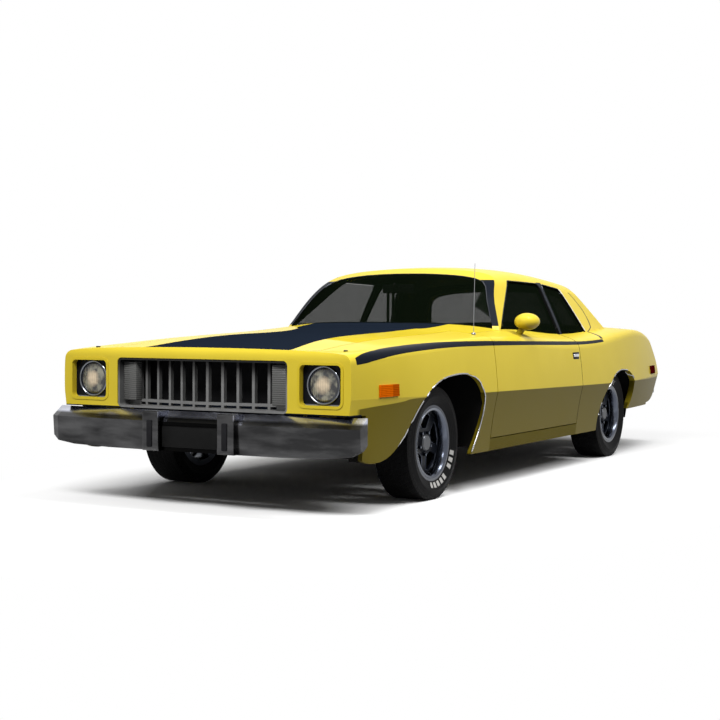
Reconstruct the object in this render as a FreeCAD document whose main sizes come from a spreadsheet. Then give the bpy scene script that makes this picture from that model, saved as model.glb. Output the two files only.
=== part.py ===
"""Two-door hardtop coupe of the mid 1970s, as an assembly of its real pieces.

Millimetres, Z up, the front faces -Y and the car's left side is +X. The origin is
on the floor under the middle of the car.
"""
import FreeCAD, Part
import Sketcher
import math
import os
import re

Vector = FreeCAD.Vector
Rotation = FreeCAD.Rotation
Placement = FreeCAD.Placement

doc = FreeCAD.newDocument("Coupe")
sheet = doc.addObject("Spreadsheet::Sheet", "Sizes")

# Driving dimensions. Places along the car are distances behind the front axle,
# except where the note says rear axle. Halves are measured from the centre plane.
SIZES = [
    ("overall_length", 5431, "bumper to bumper"),
    ("front_overhang", 1090, "front axle to the front bumper"),
    ("wheelbase", 2921, "front axle to rear axle"),
    ("half_width", 987, "centre plane to the crease of the doors"),
    ("belt_height", 950, "floor to the base of the side windows"),
    ("roof_height", 1366, "floor to the top of the roof"),
    ("sill_bottom", 222, "floor to the underside of the body"),
    ("shoulder_setback", 45, "rounding of the shoulder, along each side"),
    ("side_bulge", 6, "swell of the side above the crease"),
    ("panel_gap", 6, "gap round each moving panel"),
    ("seat_gap", 0.3, "gap at parts that sit close"),
    ("overrun", 60, "how far a cutting shape passes its piece"),
    # Greenhouse
    ("roof_corner", 70, "rounding of the roof rail, along each side"),
    ("roof_bulge", 10, "swell of the side windows"),
    ("roof_wall", 35, "thickness of roof and pillars"),
    ("screen_radius", 1260, "plan radius of the windshield"),
    ("backlight_radius", 2300, "plan radius of the rear window"),
    ("pillar_face", 30, "width of the front pillar seen from ahead"),
    ("header_depth", 27, "depth of the roof edge over the windshield"),
    ("sail_face", 85, "width of the rear pillar seen from behind"),
    ("rear_header", 70, "depth of the roof edge over the rear window"),
    ("glass_thick", 6, "thickness of the glass"),
    ("screen_inset", 4, "glass face behind the pillar face"),
    ("side_glass_inset", 12, "side glass behind the rail face"),
    ("glass_gap", 8, "gap round the door glass"),
    ("window_front_low", 1015, "door window, front edge at its lowest"),
    ("window_front_top", 1575, "door window, front top corner"),
    ("window_bar_front", 2100, "division bar, front edge"),
    ("window_bar_rear", 2135, "division bar, rear edge"),
    ("window_rear_top", 2462, "quarter window, rear top corner"),
    ("window_rear_low", 2646, "quarter window, rear edge at its lowest"),
    ("window_low", 850, "height where the window cuts start, inside the body"),
    ("window_top_front", 1263, "height of the front top corner"),
    ("window_top_mid", 1255, "height of the rail at the bar"),
    ("window_top_rear", 1226, "height of the rear top corner"),
    ("window_corner", 35, "radius of the window corners"),
    # Panels
    ("skin", 28, "thickness of fender, hood and lid"),
    ("quarter_wall", 40, "thickness of the quarter panels"),
    ("door_thick", 110, "thickness of the doors"),
    ("door_front", 661, "door, front edge"),
    ("door_rear", 2084, "door, rear edge"),
    ("door_bottom", 300, "door, lower edge above the floor"),
    ("door_notch_half", 796, "door top, inner edge beside the cowl"),
    ("door_top_half", 755, "door top, inner edge under the glass"),
    ("cowl_rear", 1160, "cowl, rear edge under the front pillar"),
    ("hood_half", 650, "hood, half of its width"),
    ("hood_front", -850, "hood, front edge"),
    ("hood_rear", 700, "hood, rear edge"),
    ("nose_face", -978, "nose, front face"),
    ("nose_depth", 45, "nose, thickness of its face"),
    ("nose_bottom", 517, "nose, lower edge above the floor"),
    ("nose_drop", 68, "nose, rounding of its top edge, its start below the crown"),
    ("nose_over", 102, "nose, rounding of its top edge, its end behind the face"),
    ("nose_rise", 34, "nose, rounding of its top edge, its end above the crown"),
    ("valance_front", -830, "front valance, front face"),
    ("valance_bottom", 300, "front valance, lower edge above the floor"),
    ("lid_front", 500, "trunk lid, front edge behind the rear axle"),
    ("lid_half", 640, "trunk lid, half of its width"),
    ("lid_lip", 706, "trunk lid, lower edge above the floor"),
    ("tail_plan_radius", 4500, "plan radius of the tail"),
    ("tail_bottom", 338, "quarter, lower edge behind the rear wheel"),
    ("shelf_front", 2950, "parcel shelf, front edge"),
    ("parcel_half", 755, "opening of the cabin between the quarters"),
    ("rocker_inner_half", 790, "inner face of the sills"),
    # Grille and lamps in the nose
    ("grille_half", 547, "grille opening, half of its width"),
    ("grille_high", 787, "grille opening, upper edge above the floor"),
    ("grille_corner", 26, "rounding of the grille opening"),
    ("grille_frame", 12, "width of the grille's frame"),
    ("grille_sweep", 80, "how far the grille's ends lie behind its middle"),
    ("grille_setback", 6, "grille's middle behind the nose face"),
    ("grille_depth", 26, "depth of the grille's bars"),
    ("bar_pitch", 88, "from one grille bar to the next"),
    ("bar_width", 15, "width of a grille bar"),
    ("parking_lamp", 96, "width of the lamp at each end of the grille"),
    ("rail_height", 15, "height of the grille's lower rails"),
    ("lamp_centre_half", 742, "headlamp centre from the centre plane"),
    ("lamp_centre_height", 668, "headlamp centre above the floor"),
    ("lamp_radius", 89, "headlamp glass"),
    ("lamp_dome", 16, "swell of the headlamp glass"),
    ("lamp_depth", 60, "headlamp behind its rim"),
    ("lamp_recess", 38, "headlamp rim behind the nose face"),
    ("bezel_width", 268, "headlamp bezel, width"),
    ("bezel_height", 232, "headlamp bezel, height"),
    ("bezel_corner", 38, "headlamp bezel, rounding"),
    ("bezel_rim", 14, "headlamp bezel, width of its raised rim"),
    ("bezel_depth", 60, "headlamp bezel, depth"),
    ("bezel_proud", 4, "headlamp bezel in front of the nose face"),
    # Lamps on the sides and the tail
    ("marker_front_y", -640, "front side marker, its middle"),
    ("marker_front_z", 635, "front side marker, height"),
    ("marker_rear_y", 3880, "rear side marker, its middle"),
    ("marker_rear_z", 615, "rear side marker, height"),
    ("marker_length", 180, "side marker, length"),
    ("marker_height", 62, "side marker, height of its lens"),
    ("marker_proud", 8, "side marker, in front of the skin"),
    ("tail_lamp_inner", 300, "tail lamp, inner edge from the centre plane"),
    ("tail_lamp_outer", 770, "tail lamp, outer edge from the centre plane"),
    ("tail_lamp_low", 580, "tail lamp, lower edge above the floor"),
    ("tail_lamp_high", 690, "tail lamp, upper edge above the floor"),
    # Bumpers
    ("bumper_depth", 75, "front bumper, front to back"),
    ("bumper_lip", 8, "bumpers, how far the lower face leans back"),
    ("bumper_turn", 25, "bumpers, rise of the lower edge at the back"),
    ("bumper_top", 511, "front bumper, upper edge above the floor"),
    ("bumper_ridge", 458, "front bumper, ridge above the floor"),
    ("bumper_low", 303, "front bumper, lower edge above the floor"),
    ("guard_half", 240, "bumper guard, its middle from the centre plane"),
    ("guard_width", 104, "bumper guard, width"),
    ("guard_proud", 26, "bumper guard, in front of the ridge"),
    ("plate_half", 186, "plate recess, half of its width"),
    ("plate_low", 322, "plate recess, lower edge above the floor"),
    ("plate_high", 440, "plate recess, upper edge above the floor"),
    ("plate_depth", 14, "plate recess, depth"),
    ("plate_hole_radius", 3.5, "plate screw holes"),
    ("plate_hole_pitch", 177.8, "from one plate screw hole to the other"),
    ("plate_hole_z", 425, "front plate screw holes above the floor"),
    ("rear_plate_z", 500, "rear plate screw holes above the floor"),
    ("rear_bumper_low", 400, "rear bumper, lower edge above the floor"),
    ("rear_bumper_ridge", 520, "rear bumper, ridge above the floor"),
    ("rear_bumper_top", 562, "rear bumper, upper edge above the floor"),
    # Floor and inner structure
    ("sheet_wall", 20, "thickness of floor and firewall"),
    ("floor_height", 235, "underside of the floor"),
    ("sill_wall", 60, "thickness of the sills"),
    ("tunnel_half", 160, "tunnel, half of its width"),
    ("tunnel_top", 500, "tunnel, top above the floor"),
    ("firewall", 715, "firewall, front face"),
    ("firewall_half", 750, "firewall, half of its width"),
    ("kick_half", 700, "hinge pillar, inner face"),
    ("hinge_pillar", 65, "hinge pillar, length along the car"),
    ("heel_board", 2440, "step in the floor before the rear seat"),
    ("rear_floor", 440, "underside of the floor over the rear axle"),
    ("tub_inner_half", 600, "rear wheelhouse, inner face"),
    ("tub_radius", 425, "rear wheelhouse, inside radius"),
    ("tyre_clearance", 25, "space round the rear tyre"),
    ("tyre_side_room", 10, "space beside the rear tyre"),
    ("tub_wall", 10, "rear wheelhouse, thickness"),
    ("shaft_slot", 70, "half length of the axle's slot in a wheelhouse"),
    ("rail_inner_half", 400, "front rail, inner face"),
    ("rail_width", 70, "front rail, width"),
    ("rail_low", 330, "front rail, underside"),
    ("rail_high", 420, "front rail, top"),
    ("apron_top", 760, "front wheelhouse, top of its inner wall"),
    ("apron_front", -560, "front wheelhouse, front wall"),
    ("apron_rear", 525, "front wheelhouse, rear wall"),
    ("radiator_y", -790, "radiator and its support, front face"),
    ("radiator_half", 600, "radiator support, half of its width"),
    ("radiator_top", 790, "radiator support, top"),
    # Running gear
    ("tyre_radius", 315, "wheel hub above the floor"),
    ("tyre_half_width", 117, "tyre, half of its width"),
    ("tread_half", 100, "tyre, half width of its tread"),
    ("bead_gap", 1.2, "tyre beside the rim's edge"),
    ("bead_radius", 191, "tyre, inner radius"),
    ("flange_radius", 211, "rim, outer edge"),
    ("rim_half_width", 97, "rim, half of its width"),
    ("barrel_radius", 176, "rim, inside of the barrel"),
    ("disc_face", 40, "wheel centre, its face from the wheel's middle"),
    ("window_depth", 160, "wheel opening, depth of its cut"),
    ("disc_thick", 16, "wheel centre, thickness"),
    ("hub_radius", 58, "wheel hub"),
    ("hub_face", 62, "hub cap, its end from the wheel's middle"),
    ("cap_radius", 40, "hub cap, radius of its end"),
    ("hub_back", 40, "wheel hub, its back from the wheel's middle"),
    ("window_inner", 78, "wheel opening, nearest the hub"),
    ("window_outer", 163, "wheel opening, nearest the rim"),
    ("window_narrow", 24, "wheel opening, half width at the hub"),
    ("window_broad", 72, "wheel opening, half width at its broadest"),
    ("window_shoulder", 143, "wheel opening, its broadest place from the hub"),
    ("window_end", 43, "wheel opening, half width of its outer edge"),
    ("spokes", 5, "spokes of a wheel"),
    ("spindle_radius", 25, "spindles of all wheels"),
    ("spindle_fit", 0.05, "play round a spindle"),
    ("bore_end", 20, "hub bore, its end from the wheel's middle"),
    ("spindle_end", 14, "spindle, its end from the wheel's middle"),
    ("track_front", 1572, "front track"),
    ("track_rear", 1575, "rear track"),
    ("kingpin_half", 700, "steering axis from the centre plane"),
    ("joint_offset", 110, "ball joints above and below the hub"),
    ("post_radius", 22, "knuckle, radius of its post"),
    ("arm_thick", 20, "control arms, thickness"),
    ("arm_half", 28, "control arms, half width at the wheel"),
    ("tower_width", 40, "crossmember towers, width"),
    ("mount_width", 80, "engine mounts, width"),
    ("beam_half_length", 70, "crossmember, half of its length along the car"),
    ("beam_low", 205, "crossmember, underside"),
    ("beam_high", 275, "crossmember, top"),
    ("axle_tube", 40, "rear axle tube, radius"),
    ("axle_end", 100, "end of the axle tube before the wheel's middle"),
    ("diff_radius", 128, "differential, radius"),
    ("diff_nose", 190, "differential, reach ahead of the axle"),
    ("diff_nose_radius", 55, "differential, radius of its nose"),
    ("spring_half", 515, "leaf spring from the centre plane"),
    ("spring_pad", 6, "spring pad, under the axle tube"),
    ("spring_width", 60, "leaf spring, width"),
    ("spring_thick", 22, "leaf spring, thickness"),
    ("spring_front", 560, "spring eye ahead of the rear axle"),
    ("spring_rear", 690, "spring eye behind the rear axle"),
    ("spring_sag", 52, "spring at the axle above its front eye"),
    ("spring_rise", 150, "rear spring eye above the front one"),
    ("shaft_radius", 35, "propeller shaft"),
    ("shaft_height", 330, "propeller shaft above the floor"),
    # Engine, exhaust and tank
    ("engine_half", 250, "engine, half of its width"),
    ("engine_front", -350, "engine, front face"),
    ("engine_rear", 450, "engine, rear face"),
    ("engine_low", 300, "engine, underside"),
    ("engine_high", 780, "engine, top"),
    ("gearbox_half", 128, "gearbox, half of its width"),
    ("gearbox_rear", 1300, "gearbox, rear face"),
    ("gearbox_low", 270, "gearbox, underside"),
    ("gearbox_high", 460, "gearbox, top"),
    ("pipe_radius", 26, "exhaust pipe"),
    ("pipe_half", 335, "exhaust pipe from the centre plane"),
    ("pipe_height", 200, "exhaust pipe above the floor"),
    ("pipe_turn", 39, "exhaust pipe, radius of its bends"),
    ("pipe_slope", 90, "exhaust pipe, length of its first slope"),
    ("manifold", 104, "exhaust outlet above and ahead of the engine's lower rear edge"),
    ("muffler_radius", 70, "muffler"),
    ("muffler_front", 420, "muffler, front end behind the rear axle"),
    ("muffler_length", 480, "muffler"),
    ("muffler_height", 300, "muffler above the floor"),
    ("tail_pipe", 1230, "end of the exhaust behind the rear axle"),
    ("tank_width", 560, "fuel tank, width"),
    ("tank_length", 520, "fuel tank, length along the car"),
    ("tank_depth", 185, "fuel tank, height"),
    ("tank_reach", 940, "fuel tank, front face ahead of the rear bumper"),
    # Cabin
    ("seat_inner", 164, "front seat, inner edge from the centre plane"),
    ("seat_outer", 660, "front seat, outer edge"),
    ("seat_round", 34, "rounding of the seats"),
    ("bench_half", 588, "rear seat, half of its width"),
    ("dash_half", 726, "dashboard, half of its width"),
    ("dash_round", 14, "dashboard, rounding"),
    ("wheel_half", 370, "steering wheel from the centre plane"),
    ("wheel_y", 1330, "steering wheel, its middle"),
    ("wheel_drop", 160, "steering wheel, its middle below the belt"),
    ("wheel_radius", 185, "steering wheel, radius of its ring"),
    ("wheel_grip", 13, "steering wheel, radius of its grip"),
    ("column_radius", 24, "steering column"),
    ("column_angle", 25, "steering column above the horizontal, in degrees"),
    ("mirror_half", 925, "mirror, its middle from the centre plane"),
    ("mirror_y", 1238, "mirror, its middle"),
    ("mirror_z", 992, "mirror, height"),
    ("mirror_length", 92, "mirror, half of its length"),
    ("mirror_width", 78, "mirror, half of its width"),
    ("mirror_height", 54, "mirror, half of its height"),
    ("mirror_stalk", 20, "mirror, radius of its foot"),
    # Hinges
    ("door_hinge", 60, "door hinge behind the door's front edge"),
    ("hinge_inset", 11, "door hinge inside the skin"),
    ("hood_hinge", 40, "hood hinge ahead of the hood's rear edge"),
    ("lid_hinge", 40, "lid hinge behind the lid's front edge"),
    ("gutter", 25, "width of the gutter under the lid's edges"),
    ("pane_rear_gap", 14, "door glass ahead of the pillar, so that it swings clear"),
    ("wheel_stub", 60, "length of the steering wheel's hub"),
]


def fill_sheet():
    """Each size is a plain number with its name as the alias of its cell."""
    for row, (alias, value, note) in enumerate(SIZES, 1):
        sheet.set(f"A{row}", note)
        sheet.set(f"B{row}", str(value))
        sheet.setAlias(f"B{row}", alias)
    doc.recompute()


class Sheet:
    """Reads the sizes back from the sheet by their names."""

    def __getattr__(self, alias):
        return float(sheet.get(alias))


fill_sheet()
mm = Sheet()
NAMES = {row[0] for row in SIZES}
front_axle_y = mm.front_overhang - mm.overall_length / 2
rear_axle_y = front_axle_y + mm.wheelbase
rear_overhang = mm.overall_length - mm.front_overhang - mm.wheelbase


def along(share):
    """y of a place: -1 front bumper, 0 front axle, 1 rear axle, 2 rear bumper."""
    if share < 0:
        return front_axle_y + share * mm.front_overhang
    if share < 1:
        return front_axle_y + share * mm.wheelbase
    return rear_axle_y + (share - 1) * rear_overhang


def bezier(*points):
    curve = Part.BezierCurve()
    curve.setPoles([Vector(*point) for point in points])
    return curve.toShape()


def line(start, end):
    return Part.makeLine(Vector(*start), Vector(*end))


def box(low_x, high_x, low_y, high_y, low_z, high_z):
    size = Vector(high_x - low_x, high_y - low_y, high_z - low_z)
    return Part.makeBox(size.x, size.y, size.z, Vector(low_x, low_y, low_z))


def rounded_wire(points, radius):
    """A closed outline whose corners are arcs of the given radius."""
    corners = []
    count = len(points)
    for index in range(count):
        here = Vector(*points[index])
        before = (Vector(*points[index - 1]) - here).normalize()
        after = (Vector(*points[(index + 1) % count]) - here).normalize()
        half_turn = before.getAngle(after) / 2
        setback = radius / math.tan(half_turn)
        middle = (before + after).normalize()
        tip = here + middle * (radius / math.sin(half_turn) - radius)
        corners.append((here + before * setback, tip, here + after * setback))
    edges = []
    for index, (start, tip, end) in enumerate(corners):
        edges.append(Part.Arc(start, tip, end).toShape())
        edges.append(Part.makeLine(end, corners[(index + 1) % count][0]))
    return Part.Wire(edges)


def prism(wire, direction):
    return Part.Face(wire).extrude(Vector(*direction))


def side_prism(points, low_x, high_x, radius):
    """An outline of (y, z) points, extruded across the car."""
    wire = rounded_wire([(low_x, y, z) for y, z in points], radius)
    return prism(wire, (high_x - low_x, 0, 0))


def mirrored(shape):
    return shape.mirror(Vector(0, 0, 0), Vector(1, 0, 0))


def both(shape):
    return Part.makeCompound([shape, mirrored(shape)])


def half_section(y, foot, foot_bend, side_start, corner, crown, setback, bulge):
    """Right half of a cross-section, from its foot to the crown's edge.

    The side runs from side_start to the corner, which is rounded, and the top
    rises to the crown. With a foot there is a lower side as well.
    """
    handle = crown_handle_share * corner[0]
    rise = (crown - corner[1]) / (crown_middle_share * handle + setback)
    belly = ((side_start[0] + corner[0]) / 2 + bulge, (side_start[1] + corner[1]) / 2)
    run = Vector(corner[0] - belly[0], 0, corner[1] - belly[1]).normalize()
    top = Vector(-1, 0, rise).normalize()
    start = (corner[0] - setback * run.x, y, corner[1] - setback * run.z)
    end = (corner[0] + setback * top.x, y, corner[1] + setback * top.z)
    curves = []
    if foot:
        curves.append([(foot[0], y, foot[1]), (foot_bend[0], y, foot_bend[1]),
                       (side_start[0], y, side_start[1])])
    curves.append([(side_start[0], y, side_start[1]), (belly[0], y, belly[1]), start])
    curves.append([start, (corner[0], y, corner[1]), end])
    crown_pole = (end[0] - handle, y, end[2] + handle * rise)
    return curves, end, crown_pole


def full_section(curves, end, crown_pole):
    """The closed wire of a cross-section that is the same on both sides."""
    def flip(point):
        return (-point[0], point[1], point[2])

    edges = [bezier(*curve) for curve in curves]
    edges.append(bezier(end, crown_pole, flip(crown_pole), flip(end)))
    for curve in reversed(curves):
        edges.append(bezier(*[flip(point) for point in reversed(curve)]))
    foot = curves[0][0]
    edges.append(line(flip(foot), foot))
    return Part.Wire(edges)


crown_handle_share = 0.35
# Where the middle of the crown's curve lies between its end and its pole.
crown_middle_share = 0.75
foot_bend_shares = (0.33, 0.57)
# Lower body: place along the car, then halves of sill, crease and shoulder, and
# heights of crease, shoulder and crown. Halves are shares of half_width and
# heights of belt_height.
body_section_shares = [
    (-0.917, 0.892, 0.930, 0.924, 0.632, 0.858, 0.903),
    (-0.642, 0.917, 0.957, 0.942, 0.628, 0.884, 0.905),
    (-0.092, 0.937, 0.991, 0.960, 0.618, 0.914, 0.960),
    (0.205, 0.942, 0.998, 0.960, 0.607, 0.944, 0.993),
    (0.411, 0.944, 1.000, 0.965, 0.601, 0.924, 1.068),
    (0.719, 0.944, 0.999, 0.963, 0.589, 0.897, 1.033),
    (0.959, 0.937, 0.998, 0.957, 0.582, 0.935, 1.037),
    (1.337, 0.907, 0.972, 0.922, 0.584, 0.979, 1.013),
    (1.689, 0.857, 0.916, 0.868, 0.595, 0.926, 0.960),
    (1.971, 0.797, 0.847, 0.812, 0.605, 0.768, 0.832),
]
# Greenhouse: place along the car, halves of base and roof corner as shares of
# half_width, heights of roof corner and crown as shares of roof_height.
cabin_base_share = 0.884
cabin_section_shares = [
    (0.205, 0.834, 0.633, 0.908, 0.933),
    (0.445, 0.841, 0.636, 0.931, 0.974),
    (0.650, 0.844, 0.640, 0.945, 1.000),
    (0.856, 0.854, 0.640, 0.925, 0.974),
    (0.993, 0.844, 0.648, 0.899, 0.937),
    (1.408, 0.829, 0.699, 0.827, 0.849),
]
# Windshield and rear window: height as a share of roof_height, then the places
# of both glass faces on the centre plane.
screen_shares = [
    (0.615, 0.199, 1.392),
    (0.805, 0.341, 1.058),
    (0.952, 0.451, 0.925),
    (0.998, 0.514, 0.878),
    (1.028, 0.555, 0.842),
]
screen_half_share = 1.02
screen_slant_share = 1.9
backlight_slant_share = 2.0


def lower_body(inset):
    """The closed form of the body below the windows, with its faces set in."""
    wires = []
    for place, sill, crease, corner, crease_z, corner_z, crown_z in body_section_shares:
        foot = (sill * mm.half_width - inset, mm.sill_bottom + inset)
        start = (crease * mm.half_width - inset, crease_z * mm.belt_height)
        bend = (foot[0] + foot_bend_shares[0] * (start[0] - foot[0]),
                foot[1] + foot_bend_shares[1] * (start[1] - foot[1]))
        shoulder = (corner * mm.half_width - inset, corner_z * mm.belt_height - inset)
        half = half_section(along(place), foot, bend, start, shoulder,
                            crown_z * mm.belt_height - inset, mm.shoulder_setback,
                            mm.side_bulge)
        wires.append(full_section(*half))
    return Part.makeLoft(wires, True, False)


def cabin_sides(side_inset, top_inset):
    """The greenhouse's sides and roof as a closed form, set in by two amounts."""
    wires = []
    for place, base, corner, corner_z, crown_z in cabin_section_shares:
        start = (base * mm.half_width - side_inset, cabin_base_share * mm.belt_height)
        shoulder = (corner * mm.half_width - side_inset,
                    corner_z * mm.roof_height - top_inset)
        half = half_section(along(place), None, None, start, shoulder,
                            crown_z * mm.roof_height - top_inset, mm.roof_corner,
                            mm.roof_bulge)
        wires.append(full_section(*half))
    return Part.makeLoft(wires, True, False)


def screen_form(inset):
    """What lies between the faces of the windshield and of the rear window."""
    half = screen_half_share * mm.half_width
    wires = []
    for height, front, rear in screen_shares:
        z = height * mm.roof_height
        ahead = along(front) + inset * screen_slant_share
        behind = along(rear) - inset * backlight_slant_share
        front_sag = mm.screen_radius - math.sqrt(mm.screen_radius ** 2 - half ** 2)
        rear_sag = mm.backlight_radius - math.sqrt(mm.backlight_radius ** 2 - half ** 2)
        corners = [(-half, ahead + front_sag, z), (half, ahead + front_sag, z),
                   (half, behind - rear_sag, z), (-half, behind - rear_sag, z)]
        front_arc = Part.Arc(Vector(*corners[0]), Vector(0, ahead, z), Vector(*corners[1]))
        rear_arc = Part.Arc(Vector(*corners[2]), Vector(0, behind, z), Vector(*corners[3]))
        wires.append(Part.Wire([front_arc.toShape(), line(corners[1], corners[2]),
                                rear_arc.toShape(), line(corners[3], corners[0])]))
    return Part.makeLoft(wires, True, False)


inner_forms = {}


def inner_body(inset):
    """The lower body set in by a wall's thickness, made once for each wall."""
    if inset not in inner_forms:
        inner_forms[inset] = lower_body(inset)
    return inner_forms[inset]


def greenhouse(side_inset, top_inset, face_inset):
    return cabin_sides(side_inset, top_inset).common(screen_form(face_inset))


def front(distance):
    return front_axle_y + distance


def rear(distance):
    return rear_axle_y + distance


body_form = lower_body(0)
nodes = []


def feature(label, shape):
    """A sub-part whose shape is worked out here, as a single object."""
    made = doc.addObject("Part::Feature", label)
    made.Label = label
    made.Shape = shape
    made.Placement = Placement()
    nodes.append(made)
    return made


def skin(inset, region):
    """The wall of the lower body that lies in a region."""
    return body_form.common(region).cut(inner_body(inset))


def across(low_y, high_y, low_z, high_z, half=None):
    """A box over the whole width, or over a half width on both sides."""
    half = half or mm.half_width + mm.overrun
    return box(-half, half, low_y, high_y, low_z, high_z)


top_z = mm.roof_height + mm.overrun
wide = mm.half_width + mm.overrun
gap = mm.panel_gap

# Wheel openings: distance from their axle and height, as shares of wheelbase and
# belt_height. The front one also rounds off the foot of the fender ahead of the wheel.
front_arch_shares = [
    (-0.300, -0.05), (-0.300, 0.345), (-0.276, 0.292), (-0.240, 0.279), (-0.205, 0.295),
    (-0.172, 0.345), (-0.144, 0.421), (-0.099, 0.589), (-0.031, 0.703),
    (0.034, 0.732), (0.113, 0.716), (0.151, 0.653), (0.171, 0.526), (0.164, 0.389),
    (0.137, 0.242), (0.137, -0.05),
]
rear_arch_shares = [
    (-0.144, -0.05), (-0.144, 0.290), (-0.096, 0.558), (-0.033, 0.664), (0.027, 0.675),
    (0.096, 0.617), (0.122, 0.512), (0.090, 0.347), (0.090, -0.05),
]


def wheel_opening(axle_y, shares):
    """A wheel opening as a prism across the whole car, with a smooth edge."""
    points = [Vector(-wide, axle_y + place * mm.wheelbase, height * mm.belt_height)
              for place, height in shares]
    curve = Part.BSplineCurve()
    curve.interpolate(points[1:-1])
    edges = [Part.makeLine(points[0], points[1]), curve.toShape(),
             Part.makeLine(points[-2], points[-1]), Part.makeLine(points[-1], points[0])]
    return prism(Part.Wire(edges), (2 * wide, 0, 0))


front_opening = wheel_opening(front_axle_y, front_arch_shares)
rear_opening = wheel_opening(rear_axle_y, rear_arch_shares)

# Tail in side view: place along the car and height as a share of belt_height.
tail_shares = [
    (1.700, 0.373), (1.790, 0.385), (1.865, 0.430), (1.908, 0.520), (1.930, 0.633),
    (1.872, 0.765), (1.795, 0.872), (1.730, 1.010),
]


def tail_form(inset):
    """The rear of the body in side view, swept round so that it curves in plan."""
    start_y = front(mm.door_rear) - mm.overrun
    points = [Vector(0, along(place) - inset, height * mm.belt_height)
              for place, height in tail_shares]
    curve = Part.BSplineCurve()
    curve.interpolate(points)
    low = mm.tail_bottom if inset == 0 else 0
    corners = [Vector(0, points[-1].y, top_z), Vector(0, start_y, top_z),
               Vector(0, start_y, 0), Vector(0, rear_axle_y, 0),
               Vector(0, rear_axle_y, low), Vector(0, points[0].y, low)]
    if inset > 0:
        corners = corners[:3] + corners[5:]
    path = [points[-1]] + corners + [points[0]]
    edges = [curve.toShape()]
    edges += [Part.makeLine(a, b) for a, b in zip(path, path[1:])]
    face = Part.Face(Part.Wire(edges))
    pivot = Vector(0, along(2) - mm.tail_plan_radius, 0)
    turn = math.degrees(math.asin(wide / (mm.tail_plan_radius - mm.wheelbase)))
    face.rotate(pivot, Vector(0, 0, 1), -turn)
    return face.revolve(pivot, Vector(0, 0, 1), 2 * turn)


def nose_form():
    """The nose in side view: a flat face whose top edge is rounded over."""
    face_y = front(mm.nose_face)
    crown = body_section_shares[0][6] * mm.belt_height
    back_y = front(mm.door_rear)
    over = (face_y + mm.nose_over, crown + mm.nose_rise)
    start = (face_y, crown - mm.nose_drop)
    points = [(-wide, start[0], start[1]), (-wide, face_y, crown), (-wide, over[0], over[1])]
    edges = [bezier(*points), line(points[2], (-wide, over[0], top_z)),
             line((-wide, over[0], top_z), (-wide, back_y, top_z)),
             line((-wide, back_y, top_z), (-wide, back_y, 0)),
             line((-wide, back_y, 0), (-wide, face_y, 0)), line((-wide, face_y, 0), points[0])]
    return prism(Part.Wire(edges), (2 * wide, 0, 0))


# Hood
hood_region = across(front(mm.hood_front), front(mm.hood_rear), mm.nose_bottom, top_z, mm.hood_half)
feature("hood", skin(mm.skin, hood_region))

# Front fenders: each lies beside the hood and ends at the door.
fender_region = box(mm.hood_half + gap, wide, front(mm.nose_face + mm.nose_depth),
                    front(mm.door_front - gap), mm.nose_bottom, top_z)
fender_low = box(mm.rocker_inner_half, wide, front(mm.valance_front),
                 front(mm.door_front - gap), 0, mm.nose_bottom)
fender = skin(mm.skin, fender_region.fuse(fender_low)).cut(front_opening)
fender = fender.cut(inner_body(mm.skin).translated(Vector(0, 0, -mm.overrun)))
feature("fender_left", fender)
feature("fender_right", mirrored(fender))

# Doors: hollow boxes as thick as a door, open to the window slot on top.
door_region = box(mm.door_notch_half, wide, front(mm.door_front), front(mm.door_rear),
                  mm.door_bottom, top_z)
door_region = door_region.fuse(box(mm.door_top_half, wide, front(mm.cowl_rear + gap),
                                   front(mm.door_rear), mm.door_bottom, top_z))
hinge_x = mm.half_width - mm.hinge_inset
hinge_y = front(mm.door_front) + mm.door_hinge


def about_hinge(radius):
    """A drum about the door's hinge line."""
    return Part.makeCylinder(radius, top_z, Vector(hinge_x, hinge_y, 0))


# The door keeps inside two drums about its hinge, so that it swings clear at both ends.
door_length = mm.door_rear - mm.door_front - mm.door_hinge
notch_reach = hinge_x - mm.door_notch_half
corner = box(0, hinge_x, front(mm.door_front), hinge_y, 0, top_z).cut(about_hinge(notch_reach))
door = skin(mm.door_thick, door_region).common(about_hinge(door_length)).cut(corner)
feature("door_left", door)
feature("door_right", mirrored(door))

# Trunk lid: deck and upper tail in one piece.
lid_region = across(rear(mm.lid_front), along(2), mm.lid_lip, top_z, mm.lid_half)
lid_cut = across(rear(mm.lid_front) - gap, along(2), mm.lid_lip - gap, top_z,
                 mm.lid_half + gap)
tail_outer = tail_form(0)
rear_form = body_form.common(tail_outer)
lid = rear_form.common(lid_region)
lid = lid.cut(inner_body(mm.skin).common(tail_form(mm.skin)))
feature("trunk_lid", lid)

# Quarter panels, tail and parcel shelf: one piece round the trunk.
quarters = rear_form.common(across(front(mm.door_rear) + gap, along(2), 0, top_z))
quarters = quarters.cut(inner_body(mm.quarter_wall).common(tail_form(mm.quarter_wall)))
cabin_hole = across(front(mm.door_rear), front(mm.shelf_front), 0, top_z, mm.parcel_half)
floor_hole = across(front(mm.door_rear), along(tail_shares[1][0]), 0, mm.rear_floor,
                    mm.rocker_inner_half)
room_half = mm.track_rear / 2 + mm.tyre_half_width + mm.tyre_side_room
tyre_room = Part.makeCylinder(mm.tyre_radius + mm.tyre_clearance, 2 * room_half,
                              Vector(-room_half, rear_axle_y, mm.tyre_radius), Vector(1, 0, 0))
for cutter in (lid_cut, cabin_hole, floor_hole, rear_opening, tyre_room):
    quarters = quarters.cut(cutter)
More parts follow.
